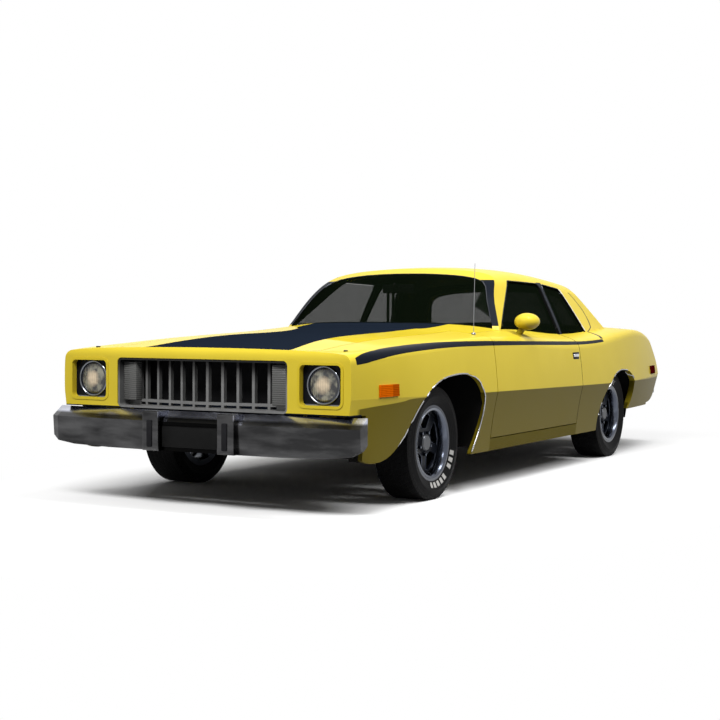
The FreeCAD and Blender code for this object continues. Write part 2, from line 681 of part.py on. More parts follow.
# A gutter carries the closed lid, and leaves the hinges at its front edge free.
seat_inset = mm.skin + mm.seat_gap
gutter_start = rear(mm.lid_front + 2 * mm.lid_hinge)
gutter = across(gutter_start, along(2), mm.lid_lip - gap, top_z, mm.lid_half + gap)
gutter = gutter.cut(across(gutter_start, along(2), mm.lid_lip + mm.gutter, top_z,
                           mm.lid_half - mm.gutter))
gutter = gutter.common(inner_body(seat_inset)).common(tail_form(seat_inset))
gutter = gutter.cut(inner_body(mm.quarter_wall).common(tail_form(mm.quarter_wall)))
quarters = quarters.fuse(gutter)

# Roof and pillars: one shell with its window openings.
roof_form = greenhouse(0, 0, 0)
roof = roof_form.cut(greenhouse(mm.roof_wall, mm.roof_wall, mm.roof_wall))
windshield_hole = cabin_sides(mm.pillar_face, mm.header_depth).common(
    across(front(0), front(mm.window_front_top), 0, top_z))
backlight_hole = cabin_sides(mm.sail_face, mm.rear_header).common(
    across(front(mm.window_rear_low), along(2), 0, top_z))


def window_outline(inset):
    """Door window and quarter window in side view, both set in by one amount."""
    low = mm.window_low
    slope = (mm.window_front_top - mm.window_front_low) / (mm.window_top_front - low)
    door_points = [(front(mm.window_front_low + inset * slope), low),
                   (front(mm.window_front_top + inset * slope), mm.window_top_front - inset),
                   (front(mm.window_bar_front - inset), mm.window_top_mid - inset),
                   (front(mm.window_bar_front - inset), low)]
    quarter_points = [(front(mm.window_bar_rear), low),
                      (front(mm.window_bar_rear), mm.window_top_mid),
                      (front(mm.window_rear_top), mm.window_top_rear),
                      (front(mm.window_rear_low), low)]
    return door_points, quarter_points


def window_prism(points):
    return side_prism(points, mm.window_corner, wide, mm.window_corner)


door_hole, quarter_hole = [window_prism(points) for points in window_outline(0)]
roof = roof.cut(windshield_hole).cut(backlight_hole)
for hole in (door_hole, quarter_hole):
    roof = roof.cut(hole).cut(mirrored(hole))
roof = roof.cut(body_form)
feature("roof", roof)

# Cowl, firewall and hinge pillars.
cowl_form = across(front(mm.hood_rear) + gap, front(mm.cowl_rear), mm.nose_bottom, top_z,
                   mm.door_notch_half - gap)
shoulder = box(mm.hood_half + gap, mm.door_notch_half - gap, front(mm.door_front) - gap,
               front(mm.hood_rear) + gap, mm.nose_bottom, top_z)
cowl_form = cowl_form.fuse([shoulder, mirrored(shoulder)])
cowl = skin(mm.skin, cowl_form).cut(greenhouse(mm.roof_wall, mm.roof_wall, mm.roof_wall))
wall = mm.sheet_wall
firewall_back = front(mm.firewall) + wall
pillar_rear = front(mm.door_front) - gap
bulkhead = across(front(mm.firewall), firewall_back, 0, top_z, mm.firewall_half)
bulkhead = bulkhead.cut(across(front(mm.firewall) - wall, firewall_back + wall, 0,
                               mm.tunnel_top - wall, mm.tunnel_half - wall))
pillar = box(mm.kick_half, wide, pillar_rear - mm.hinge_pillar, pillar_rear, 0, top_z)
kick = box(mm.kick_half, mm.kick_half + wall, pillar_rear - wall, firewall_back, 0, top_z)
posts = pillar.fuse(kick).common(inner_body(mm.skin + mm.seat_gap))
bulkhead = bulkhead.common(inner_body(mm.skin / 2))
feature("cowl", cowl.fuse([bulkhead, posts, mirrored(posts)]))

# Fixed and moving glass.
front_slab = cabin_sides(mm.pillar_face, mm.header_depth).common(
    screen_form(mm.screen_inset)).cut(screen_form(mm.screen_inset + mm.glass_thick))
windshield = front_slab.common(across(front(0), front(mm.window_front_top), 0, top_z))
windshield = windshield.cut(body_form)
feature("windshield", windshield)
rear_slab = cabin_sides(mm.sail_face, mm.rear_header).common(
    screen_form(mm.screen_inset)).cut(screen_form(mm.screen_inset + mm.glass_thick))
rear_window = rear_slab.common(across(front(mm.window_rear_low), along(2), 0, top_z))
rear_window = rear_window.cut(body_form)
feature("rear_window", rear_window)
side_inner = mm.side_glass_inset + mm.glass_thick
side_slab = cabin_sides(mm.side_glass_inset, mm.side_glass_inset).cut(
    cabin_sides(side_inner, side_inner))
door_pane = side_slab.common(window_prism(window_outline(mm.glass_gap)[0])).cut(body_form)
door_pane = door_pane.cut(box(0, wide, front(mm.window_bar_front) - mm.pane_rear_gap, along(2),
                              0, top_z))
quarter_pane = side_slab.common(quarter_hole).cut(body_form)
feature("door_glass_left", door_pane)
feature("door_glass_right", mirrored(door_pane))
feature("quarter_glass", both(quarter_pane))

# Floor pan: floor with its tunnel, heel board, rear floor, wheelhouses and sills.
def tunnel_section(y):
    low = mm.floor_height
    half = mm.tunnel_half
    edge = mm.rocker_inner_half
    right = [(edge, low), (half - wall, low), (half - wall, mm.tunnel_top - wall)]
    upper = [(half, mm.tunnel_top), (half, low + wall), (edge, low + wall)]
    outline = right + [(-x, z) for x, z in reversed(right)]
    outline += [(-x, z) for x, z in reversed(upper)] + upper
    points = [Vector(x, y, z) for x, z in outline]
    return Part.makePolygon(points + points[:1])


heel = front(mm.heel_board)
floor = prism(tunnel_section(firewall_back), (0, heel - firewall_back, 0))
board = across(heel, heel + wall, mm.floor_height, mm.rear_floor + wall, mm.rocker_inner_half)
board = board.cut(across(heel, heel + wall, mm.floor_height, mm.rear_floor, mm.tunnel_half - wall))
over_axle = across(heel, rear(mm.tub_radius), mm.rear_floor, mm.rear_floor + wall,
                   mm.tub_inner_half)
trunk_floor = across(rear(mm.tub_radius), along(2), mm.rear_floor, mm.rear_floor + wall)
trunk_floor = trunk_floor.common(inner_body(mm.quarter_wall))
trunk_floor = trunk_floor.common(tail_form(mm.quarter_wall))


def wheelhouse():
    """A drum over the rear wheel, closed on its inner side."""
    start = Vector(mm.tub_inner_half, rear_axle_y, mm.tyre_radius)
    axis = Vector(1, 0, 0)
    outer = Part.makeCylinder(mm.tub_radius + mm.tub_wall, wide, start, axis)
    inner = Part.makeCylinder(mm.tub_radius, wide, start + axis * mm.tub_wall, axis)
    slot = box(0, wide, rear(-mm.shaft_slot), rear(mm.shaft_slot), 0, mm.rear_floor)
    above = across(heel, along(2), mm.floor_height, top_z)
    return outer.cut(inner).common(above).common(inner_body(mm.quarter_wall)).cut(slot)


tub = wheelhouse()
sill_region = box(mm.rocker_inner_half, wide, pillar_rear, front(mm.door_rear) + gap, 0,
                  mm.door_bottom - gap)
sill = skin(mm.sill_wall, sill_region)
feature("floor_pan", floor.fuse([board, over_axle, trunk_floor, tub, mirrored(tub), sill,
                                 mirrored(sill)]))

# Nose panel: face with its openings, top strip, shelf and valance.
face_y = front(mm.nose_face)
face_back = face_y + mm.nose_depth
nose = body_form.common(nose_form())


def nose_outline(half_x, centre_x, low_z, high_z, radius, low_y, high_y):
    """A rounded rectangle in the nose's face, as a prism along the car."""
    points = [(centre_x - half_x, low_y, low_z), (centre_x + half_x, low_y, low_z),
              (centre_x + half_x, low_y, high_z), (centre_x - half_x, low_y, high_z)]
    return prism(rounded_wire(points, radius), (0, high_y - low_y, 0))


def bezel_outline(inset, low_y, high_y):
    return nose_outline(mm.bezel_width / 2 - inset, mm.lamp_centre_half,
                        mm.lamp_centre_height - mm.bezel_height / 2 + inset,
                        mm.lamp_centre_height + mm.bezel_height / 2 - inset,
                        mm.bezel_corner - inset, low_y, high_y)


face = nose.common(across(face_y, face_back, mm.nose_bottom, top_z))
grille_back = face_y + mm.grille_setback + mm.grille_sweep + mm.grille_depth
opening = nose_outline(mm.grille_half, 0, mm.nose_bottom, mm.grille_high, mm.grille_corner,
                       face_y, grille_back)
lamp_opening = bezel_outline(0, face_y - wall, face_back + wall)
face = face.cut(opening).cut(lamp_opening).cut(mirrored(lamp_opening))
strip = skin(mm.skin, across(face_back, front(mm.hood_front) - gap, mm.nose_bottom, top_z,
                             mm.hood_half)).common(nose_form())
valance_back = front(mm.valance_front) + mm.skin
shelf = across(face_back, valance_back, mm.nose_bottom, mm.nose_bottom + mm.skin)
valance = across(front(mm.valance_front), valance_back, mm.valance_bottom, mm.nose_bottom,
                 mm.rocker_inner_half)
rail_outer_half = mm.rail_inner_half + mm.rail_width
rail_hole = box(mm.rail_inner_half, rail_outer_half, front(mm.valance_front), valance_back,
                mm.rail_low, mm.rail_high)
valance = valance.cut(rail_hole).cut(mirrored(rail_hole))
shelf = shelf.common(inner_body(mm.skin)).cut(opening)
feature("nose_panel", face.fuse([strip, shelf, valance]))

# Grille: V-shaped in plan, with its frame, bars, rails and end lamps.
def grille_y(half_x):
    share = abs(half_x) / mm.grille_half
    return face_y + mm.grille_setback + share * mm.grille_sweep


def swept_bar(left_x, right_x, low_z, high_z, depth):
    """A bar that follows the grille's plan shape on one side of the middle."""
    outline = [(left_x, grille_y(left_x)), (right_x, grille_y(right_x)),
               (right_x, grille_y(right_x) + depth), (left_x, grille_y(left_x) + depth)]
    points = [Vector(x, y, low_z) for x, y in outline]
    return prism(Part.makePolygon(points + points[:1]), (0, 0, high_z - low_z))


def grille_half_side():
    half = mm.grille_half
    high = mm.grille_high - mm.grille_frame
    low = mm.nose_bottom
    depth = mm.grille_depth
    rail = mm.rail_height
    pieces = [swept_bar(0, half, high, mm.grille_high, depth),
              swept_bar(0, half, low, low + rail, depth),
              swept_bar(0, half, low + 2 * rail, low + 3 * rail, depth)]
    place = mm.bar_pitch / 2
    lamp_start = half - mm.grille_frame - mm.parking_lamp
    while place < lamp_start:
        pieces.append(swept_bar(place - mm.bar_width / 2, place + mm.bar_width / 2, low, high,
                                depth))
        place += mm.bar_pitch
    pieces.append(swept_bar(lamp_start, half, low, high, depth))
    return pieces[0].fuse(pieces[1:])


def grille_outline(inset, low_y, high_y):
    return nose_outline(mm.grille_half - inset, 0, mm.nose_bottom + inset,
                        mm.grille_high - inset, mm.grille_corner - inset, low_y, high_y)


frame_y = face_y + mm.grille_setback
well = grille_outline(mm.seat_gap, frame_y, grille_back)
frame = well.cut(grille_outline(mm.grille_frame, frame_y, grille_back))
grille = grille_half_side()
grille = grille.fuse(mirrored(grille)).common(well).fuse(frame)
feature("grille", grille)

# Headlamps and their bezels.
bezel_y = face_y - mm.bezel_proud
rim_y = face_y + mm.lamp_recess
bezel = bezel_outline(0, bezel_y, bezel_y + mm.bezel_depth)
bezel = bezel.cut(bezel_outline(mm.bezel_rim, bezel_y, rim_y))
lamp_axis = Vector(mm.lamp_centre_half, rim_y, mm.lamp_centre_height)
bezel = bezel.cut(Part.makeCylinder(mm.lamp_radius, mm.bezel_depth, lamp_axis, Vector(0, 1, 0)))
feature("lamp_bezels", both(bezel))
lamp = Part.makeCylinder(mm.lamp_radius, mm.lamp_depth, lamp_axis, Vector(0, 1, 0))
dome_radius = (mm.lamp_radius ** 2 + mm.lamp_dome ** 2) / (2 * mm.lamp_dome)
dome = Part.makeSphere(dome_radius, lamp_axis + Vector(0, dome_radius - mm.lamp_dome, 0))
dome = dome.common(Part.makeCylinder(mm.lamp_radius, 2 * mm.lamp_dome, lamp_axis,
                                     Vector(0, -1, 0)))
feature("headlamps", both(lamp.fuse(dome)))

# Side markers and tail lamps.
proud_form = lower_body(-mm.marker_proud)


def side_marker(middle_y, middle_z):
    half = mm.marker_length / 2
    region = box(0, wide, middle_y - half, middle_y + half, middle_z - mm.marker_height / 2,
                 middle_z + mm.marker_height / 2)
    return proud_form.common(region).cut(body_form)


markers = [side_marker(front(mm.marker_front_y), mm.marker_front_z),
           side_marker(front(mm.marker_rear_y), mm.marker_rear_z)]
markers += [mirrored(marker) for marker in markers]
feature("side_markers", Part.makeCompound(markers))
lamp_region = box(mm.tail_lamp_inner, mm.tail_lamp_outer, rear(mm.lid_front), along(2),
                  mm.tail_lamp_low, mm.tail_lamp_high)
tail_wall = rear_form.cut(inner_body(mm.quarter_wall).common(tail_form(mm.quarter_wall)))
feature("tail_lamps", both(tail_wall.common(lamp_region)))
quarters = quarters.cut(lamp_region).cut(mirrored(lamp_region))
feature("quarter_panels", quarters)

# Bumpers: place across as a share of half_width, setback of the ridge as a share
# of front_overhang, and how much of the lower face is left there.
front_bumper_shares = [
    (0, 0.000, 1.0), (0.25, 0.002, 1.0), (0.56, 0.012, 1.0), (0.82, 0.028, 0.97),
    (0.95, 0.042, 0.88), (0.998, 0.058, 0.70),
]
rear_bumper_shares = [
    (0, 0.000, 1.0), (0.30, 0.008, 1.0), (0.55, 0.035, 1.0), (0.72, 0.080, 0.97),
    (0.80, 0.122, 0.92), (0.84, 0.160, 0.85),
]


def bumper(shares, end_y, sign, depth, low, ridge, high):
    """A bumper bar: a closed section carried from one end to the other."""
    wires = []
    ordered = [(-place, setback, face) for place, setback, face in reversed(shares[1:])]
    for place, setback, share in ordered + list(shares):
        x = place * mm.half_width
        y = end_y + sign * setback * mm.front_overhang
        bottom = ridge - share * (ridge - low)
        points = [Vector(x, y + sign * depth, high), Vector(x, y, ridge),
                  Vector(x, y + sign * mm.bumper_lip, bottom),
                  Vector(x, y + sign * depth / 2, bottom),
                  Vector(x, y + sign * depth, bottom + mm.bumper_turn)]
        wires.append(Part.makePolygon(points + points[:1]))
    return Part.makeLoft(wires, True, True)


def plate_holes(bar, y, direction, z):
    for side in (-1, 1):
        start = Vector(side * mm.plate_hole_pitch / 2, y, z)
        bar = bar.cut(Part.makeCylinder(mm.plate_hole_radius, mm.bumper_depth, start,
                                        Vector(0, direction, 0)))
    return bar


bar_y = along(-1) + mm.guard_proud
front_bar = bumper(front_bumper_shares, bar_y, 1, mm.bumper_depth, mm.bumper_low,
                   mm.bumper_ridge, mm.bumper_top)
guard = box(mm.guard_half - mm.guard_width / 2, mm.guard_half + mm.guard_width / 2,
            along(-1), bar_y + mm.bumper_depth, mm.bumper_low, mm.bumper_top)
guard = guard.makeFillet(mm.guard_proud / 2, [edge for edge in guard.Edges
                                              if edge.BoundBox.YMax < bar_y])
front_bar = front_bar.fuse([guard, mirrored(guard)])
recess_y = bar_y + mm.plate_depth
front_bar = front_bar.cut(across(along(-1), recess_y, mm.plate_low, mm.plate_high, mm.plate_half))
front_bar = plate_holes(front_bar, along(-1), 1, mm.plate_hole_z)
feature("front_bumper", front_bar)
rear_bar_depth = along(2) - along(tail_shares[2][0])
rear_bar = bumper(rear_bumper_shares, along(2), -1, rear_bar_depth, mm.rear_bumper_low,
                  mm.rear_bumper_ridge, mm.rear_bumper_top).cut(rear_form)
rear_bar = max(rear_bar.Solids, key=lambda solid: solid.Volume)
rear_bar = plate_holes(rear_bar, along(2), -1, mm.rear_plate_z)
feature("rear_bumper", rear_bar)

# Front rails with the wheelhouse walls and the radiator support.
under = inner_body(mm.skin)
rail = box(mm.rail_inner_half, rail_outer_half, along(-1), front(mm.firewall), mm.rail_low,
           mm.rail_high).cut(front_bar)
rail = max(rail.Solids, key=lambda solid: solid.Volume)
apron = box(rail_outer_half, rail_outer_half + mm.tub_wall, front(mm.apron_front),
            front(mm.apron_rear), mm.rail_low, mm.apron_top)
front_wall = box(rail_outer_half, wide, front(mm.apron_front) - mm.tub_wall,
                 front(mm.apron_front), mm.rail_low, top_z).common(under)
rear_wall = box(rail_outer_half, wide, front(mm.apron_rear), front(mm.apron_rear) + mm.tub_wall,
                mm.floor_height, top_z).common(under)
side_frame = rail.fuse([apron, front_wall, rear_wall])
radiator = across(front(mm.radiator_y), front(mm.radiator_y) + wall, mm.rail_low,
                  mm.radiator_top, mm.radiator_half)
arm_window = box(rail_outer_half, rail_outer_half + wall, front(-mm.beam_half_length),
                 front(mm.beam_half_length), mm.rail_high, mm.rail_high + 3 * mm.arm_thick)
rails = side_frame.fuse([mirrored(side_frame), radiator])
rails = rails.cut(arm_window).cut(mirrored(arm_window))
feature("front_rails", rails)


def expression(text):
    """Turns a formula on the names of the sizes into one on the sheet's cells."""
    return re.sub(r"[a-z_]+",
                  lambda word: "Sizes." + word.group() if word.group() in NAMES else word.group(),
                  text)


FRONT_AXLE = "(front_overhang - overall_length / 2)"
REAR_AXLE = "(front_overhang + wheelbase - overall_length / 2)"
ACROSS = Rotation(Vector(0, 1, 0), 90)
ALONG = Rotation(Vector(1, 0, 0), -90)


def place(made, at, turn):
    """Sets a Placement whose three coordinates follow the sheet."""
    made.Placement = Placement(Vector(0, 0, 0), turn)
    for axis, text in zip("xyz", at):
        made.setExpression(f"Placement.Base.{axis}", expression(text))


def primitive(kind, name, at, turn, **formulas):
    """A primitive solid whose sizes and place are formulas on the sheet."""
    made = doc.addObject("Part::" + kind, name)
    for key, text in formulas.items():
        made.setExpression(key, expression(text))
    place(made, at, turn)
    return made


def block(name, low_x, high_x, low_y, high_y, low_z, high_z):
    """A box between six formulas."""
    return primitive("Box", name, (low_x, low_y, low_z), Rotation(),
                     Length=f"({high_x}) - ({low_x})", Width=f"({high_y}) - ({low_y})",
                     Height=f"({high_z}) - ({low_z})")


def group(kind, label, pieces):
    """A node made of several objects, fused or held side by side."""
    made = doc.addObject("Part::" + kind, label)
    made.Label = label
    if kind == "MultiFuse":
        made.Shapes = pieces
    else:
        made.Links = pieces
    nodes.append(made)
    return made


def polygon_sketch(owner, name, plane, corners):
    """A closed polygon whose corners are pairs of formulas on the sheet."""
    made = owner.newObject("Sketcher::SketchObject", name)
    origin = [item for item in owner.Origin.OriginFeatures if item.Role == plane][0]
    made.AttachmentSupport = [(origin, "")]
    made.MapMode = "FlatFace"
    count = len(corners)
    # The solver moves these starting corners, set round a circle, to their places.
    ring = [Vector(math.cos(2 * math.pi * index / count), math.sin(2 * math.pi * index / count), 0)
            * mm.tyre_radius for index in range(count)]
    for index in range(count):
        made.addGeometry(Part.LineSegment(ring[index], ring[(index + 1) % count]), False)
    for index in range(count):
        made.addConstraint(Sketcher.Constraint("Coincident", index, 2, (index + 1) % count, 1))
    for index, (first, second) in enumerate(corners):
        for kind, text in (("DistanceX", first), ("DistanceY", second)):
            number = made.addConstraint(Sketcher.Constraint(kind, -1, 1, index, 1,
                                                            mm.tyre_radius))
            made.setExpression(f"Constraints[{number}]", expression(text))
    return made


def new_body(label):
    made = doc.addObject("PartDesign::Body", label)
    made.Label = label
    return made


def origin_axis(owner, role):
    return [item for item in owner.Origin.OriginFeatures if item.Role == role][0]


SIDES = {"left": 1, "right": -1}
WHEELS = [(end, side) for end in ("front", "rear") for side in SIDES]


def wheel_place(end, side):
    sign = SIDES[side]
    axle = FRONT_AXLE if end == "front" else REAR_AXLE
    return (f"{sign} * track_{end} / 2", axle, "tyre_radius")


# Wheels: a steel rim with five spokes and a deep edge, then the tyre.
rim_profile = [
    ("-rim_half_width", "flange_radius"), ("-rim_half_width", "barrel_radius"),
    ("disc_face - disc_thick", "barrel_radius"), ("disc_face - disc_thick", "hub_radius"),
    ("-hub_back", "hub_radius"), ("-hub_back", "spindle_radius + spindle_fit"),
    ("bore_end", "spindle_radius + spindle_fit"), ("bore_end", "0"), ("hub_face", "0"),
    ("hub_face", "cap_radius"), ("disc_face", "hub_radius"),
    ("disc_face", "barrel_radius"), ("rim_half_width - disc_thick", "barrel_radius"),
    ("rim_half_width", "bead_radius"), ("rim_half_width", "flange_radius"),
    ("rim_half_width - disc_thick / 2", "flange_radius"),
    ("rim_half_width - disc_thick / 2", "bead_radius - seat_gap"),
    ("disc_thick / 2 - rim_half_width", "bead_radius - seat_gap"),
    ("disc_thick / 2 - rim_half_width", "flange_radius"),
]
tyre_half_profile = [
    ("rim_half_width - disc_thick / 2 - seat_gap", "bead_radius"),
    ("rim_half_width - disc_thick / 2 - seat_gap", "flange_radius + seat_gap"),
    ("rim_half_width + bead_gap", "flange_radius + bead_gap"),
    ("tyre_half_width", "(flange_radius + tyre_radius) / 2"),
    ("tread_half", "tyre_radius"),
]
tyre_profile = list(tyre_half_profile)
tyre_profile += [(f"-({x})", r) for x, r in reversed(tyre_half_profile)]
for end, side in WHEELS:
    turn = Rotation() if side == "left" else Rotation(Vector(0, 0, 1), 180)
    rim = new_body(f"rim_{end}_{side}")
    place(rim, wheel_place(end, side), turn)
    profile = polygon_sketch(rim, "rim_section", "XY_Plane", rim_profile)
    spin = rim.newObject("PartDesign::Revolution", "rim_turned")
    spin.Profile = profile
    spin.ReferenceAxis = (profile, ["H_Axis"])
    spin.Angle = 360
    spin.recompute()
    window = polygon_sketch(rim, "window_outline", "YZ_Plane", [
        ("-window_narrow", "window_inner"), ("window_narrow", "window_inner"),
        ("window_broad", "window_shoulder"), ("window_end", "window_outer"),
        ("-window_end", "window_outer"), ("-window_broad", "window_shoulder")])
    pocket = rim.newObject("PartDesign::Pocket", "rim_window")
    pocket.Profile = window
    pocket.Midplane = True
    pocket.setExpression("Length", expression("window_depth"))
    pattern = rim.newObject("PartDesign::PolarPattern", "rim_windows")
    pattern.Originals = [pocket]
    pattern.Axis = (origin_axis(rim, "X_Axis"), [""])
    pattern.Angle = 360
    pattern.setExpression("Occurrences", expression("spokes"))
    rim.Tip = pattern
    nodes.append(rim)
    tyre = new_body(f"tyre_{end}_{side}")
    place(tyre, wheel_place(end, side), turn)
    profile = polygon_sketch(tyre, "tyre_section", "XY_Plane", tyre_profile)
    spin = tyre.newObject("PartDesign::Revolution", "tyre_turned")
    spin.Profile = profile
    spin.ReferenceAxis = (profile, ["H_Axis"])
    spin.Angle = 360
    nodes.append(tyre)

# Knuckles: a post between the ball joints, with the spindle of the wheel.
for side, sign in SIDES.items():
    post = primitive("Cylinder", f"post_{side}",
                     (f"{sign} * kingpin_half", FRONT_AXLE,
                      "tyre_radius - joint_offset + seat_gap"), Rotation(),
                     Radius="post_radius", Height="2 * joint_offset - 2 * seat_gap")
    start = "kingpin_half" if sign > 0 else "-(track_front / 2 + spindle_end)"
    spindle = primitive("Cylinder", f"spindle_{side}", (start, FRONT_AXLE, "tyre_radius"), ACROSS,
                        Radius="spindle_radius",
                        Height="track_front / 2 + spindle_end - kingpin_half")
    group("MultiFuse", f"knuckle_{side}", [post, spindle])

# Crossmember with its control arms and engine mounts.
beam = block("beam", "-rail_inner_half", "rail_inner_half", FRONT_AXLE + " - beam_half_length",
             FRONT_AXLE + " + beam_half_length", "beam_low", "beam_high")
pieces = [beam]
for side, sign in SIDES.items():
    inner = "rail_inner_half - tower_width" if sign > 0 else "-rail_inner_half"
    outer = "rail_inner_half" if sign > 0 else "tower_width - rail_inner_half"
    pieces.append(block(f"tower_{side}", inner, outer, FRONT_AXLE + " - beam_half_length",
                        FRONT_AXLE + " + beam_half_length", "beam_low",
                        "tyre_radius + joint_offset + arm_thick"))
    mount_inner = "engine_half - mount_width" if sign > 0 else "-engine_half"
    mount_outer = "engine_half" if sign > 0 else "mount_width - engine_half"
    pieces.append(block(f"engine_mount_{side}", mount_inner, mount_outer,
                        FRONT_AXLE + " - arm_half", FRONT_AXLE + " + arm_half", "beam_high",
                        "engine_low"))
    for level, low in (("lower", "tyre_radius - joint_offset - arm_thick"),
                       ("upper", "tyre_radius + joint_offset")):
        arm_inner = "rail_inner_half - tower_width" if sign > 0 else "-kingpin_half"
        arm_outer = "kingpin_half" if sign > 0 else "tower_width - rail_inner_half"
        pieces.append(block(f"{level}_arm_{side}", arm_inner, arm_outer,
                            FRONT_AXLE + " - arm_half", FRONT_AXLE + " + arm_half", low,
                            low + " + arm_thick"))
        pieces.append(primitive("Cylinder", f"{level}_eye_{side}",
                                (f"{sign} * kingpin_half", FRONT_AXLE, low), Rotation(),
                                Radius="arm_half", Height="arm_thick"))
group("MultiFuse", "crossmember", pieces)

# Rear axle: tube, differential and spindles.
tube = primitive("Cylinder", "axle_tube", ("axle_end - track_rear / 2", REAR_AXLE, "tyre_radius"),
                 ACROSS, Radius="axle_tube", Height="track_rear - 2 * axle_end")
stub = primitive("Cylinder", "axle_spindles",
                 ("-(track_rear / 2 + spindle_end)", REAR_AXLE, "tyre_radius"), ACROSS,
                 Radius="spindle_radius", Height="track_rear + 2 * spindle_end")
differential = primitive("Sphere", "differential", ("0", REAR_AXLE, "tyre_radius"), Rotation(),
                         Radius="diff_radius")
diff_nose = primitive("Cylinder", "differential_nose",
                      ("0", REAR_AXLE + " - diff_nose", "shaft_height"), ALONG,
                      Radius="diff_nose_radius", Height="diff_nose")
pads = []
for side, sign in SIDES.items():
    inner = "spring_half - spring_width / 2" if sign > 0 else "-(spring_half + spring_width / 2)"
    outer = "spring_half + spring_width / 2" if sign > 0 else "spring_width / 2 - spring_half"
    pads.append(block(f"spring_pad_{side}", inner, outer, REAR_AXLE + " - axle_tube",
                      REAR_AXLE + " + axle_tube", "tyre_radius - axle_tube - spring_pad",
                      "tyre_radius"))
group("MultiFuse", "rear_axle", [tube, stub, differential, diff_nose] + pads)

# Propeller shaft, from the gearbox to the differential's nose.
shaft = primitive("Cylinder", "driveshaft", ("0", FRONT_AXLE + " + gearbox_rear", "shaft_height"),
                  ALONG, Radius="shaft_radius", Height="wheelbase - gearbox_rear - diff_nose")
shaft.Label = "driveshaft"
nodes.append(shaft)

# Engine with its gearbox, as plain blocks of the real size.
engine_block = block("engine_block", "-engine_half", "engine_half", FRONT_AXLE + " + engine_front",
                     FRONT_AXLE + " + engine_rear", "engine_low", "engine_high")
gearbox = block("gearbox", "-gearbox_half", "gearbox_half", FRONT_AXLE + " + engine_rear",
                FRONT_AXLE + " + gearbox_rear", "gearbox_low", "gearbox_high")
group("MultiFuse", "engine", [engine_block, gearbox])

# Leaf springs: an arched leaf with a hanger at each end.
spring_top = mm.tyre_radius - mm.axle_tube - mm.seat_gap
eye_z = spring_top - mm.spring_sag


def leaf_spring():
    inner = mm.spring_half - mm.spring_width / 2
    tops = [(rear(-mm.spring_front), eye_z), (rear_axle_y, spring_top),
            (rear(mm.spring_rear), eye_z + mm.spring_rise)]
    upper = [Vector(inner, y, z) for y, z in tops]
    lower = [point - Vector(0, 0, mm.spring_thick) for point in reversed(upper)]
    edges = [Part.Arc(*upper).toShape(), Part.makeLine(upper[-1], lower[0]),
             Part.Arc(*lower).toShape(), Part.makeLine(lower[-1], upper[0])]
    leaf = prism(Part.Wire(edges), (mm.spring_width, 0, 0))
    front_hanger = box(inner, inner + mm.spring_width, rear(-mm.spring_front),
                       rear(-mm.spring_front) + mm.spring_width, eye_z - mm.spring_thick,
                       mm.floor_height)
    rear_hanger = box(inner, inner + mm.spring_width, rear(mm.spring_rear) - mm.spring_width,
                      rear(mm.spring_rear), eye_z + mm.spring_rise - mm.spring_thick,
                      mm.rear_floor)
    under_pad = box(inner, inner + mm.spring_width, rear(-mm.axle_tube - mm.seat_gap),
                    rear(mm.axle_tube + mm.seat_gap),
                    mm.tyre_radius - mm.axle_tube - mm.spring_pad - mm.seat_gap, mm.tyre_radius)
    return leaf.fuse([front_hanger, rear_hanger]).cut(under_pad)


feature("leaf_springs", both(leaf_spring()))

# Exhaust: one pipe that rises over the axle, then the muffler and the tail pipe.
def bent_path(points, radius):
    """Straight runs joined by arcs that touch them."""
    edges = []
    start = points[0]
    for before, here, after in zip(points, points[1:], points[2:]):
        back = (before - here).normalize()
        ahead = (after - here).normalize()
        half_turn = back.getAngle(ahead) / 2
        setback = radius / math.tan(half_turn)
        tip = here + (back + ahead).normalize() * (radius / math.sin(half_turn) - radius)
        edges.append(Part.makeLine(start, here + back * setback))
        edges.append(Part.Arc(here + back * setback, tip, here + ahead * setback).toShape())
        start = here + ahead * setback
    edges.append(Part.makeLine(start, points[-1]))
    return Part.Wire(edges)


over_z = (mm.tyre_radius + mm.axle_tube + mm.rear_floor) / 2
pipe_points = [
    Vector(-mm.engine_half, front(mm.engine_rear) - mm.manifold, mm.engine_low + mm.manifold),
    Vector(-mm.pipe_half, front(mm.engine_rear) - mm.manifold, mm.engine_low + mm.manifold),
    Vector(-mm.pipe_half, front(mm.engine_rear) + mm.pipe_slope, mm.pipe_height),
    Vector(-mm.pipe_half, rear(-mm.tub_radius), mm.pipe_height),
    Vector(-mm.pipe_half, rear(-2 * mm.pipe_slope), over_z),
    Vector(-mm.pipe_half, rear(2 * mm.pipe_slope), over_z),
    Vector(-mm.pipe_half, rear(mm.muffler_front - mm.pipe_slope), mm.muffler_height),
    Vector(-mm.pipe_half, rear(mm.tail_pipe), mm.muffler_height),
]
path = bent_path(pipe_points, mm.pipe_turn)
circle = Part.Wire([Part.makeCircle(mm.pipe_radius, pipe_points[0], Vector(1, 0, 0))])
pipe = path.makePipeShell([circle], True, True)
muffler_start = Vector(-mm.pipe_half, rear(mm.muffler_front), mm.muffler_height)
muffler = Part.makeCylinder(mm.muffler_radius, mm.muffler_length, muffler_start, Vector(0, 1, 0))
feature("exhaust", pipe.fuse(muffler))

# Fuel tank, under the trunk floor.
tank = new_body("fuel_tank")
place(tank, ("0", "overall_length / 2 - tank_reach", "rear_floor - tank_depth"), Rotation())
outline = polygon_sketch(tank, "tank_outline", "XY_Plane", [
    ("-tank_width / 2 + pipe_half / 4", "0"), ("tank_width / 2 + pipe_half / 4", "0"),
    ("tank_width / 2 + pipe_half / 4", "tank_length"),
    ("-tank_width / 2 + pipe_half / 4", "tank_length")])
pad = tank.newObject("PartDesign::Pad", "tank_pad")
pad.Profile = outline
pad.setExpression("Length", expression("tank_depth"))
pad.recompute()
nodes.append(tank)

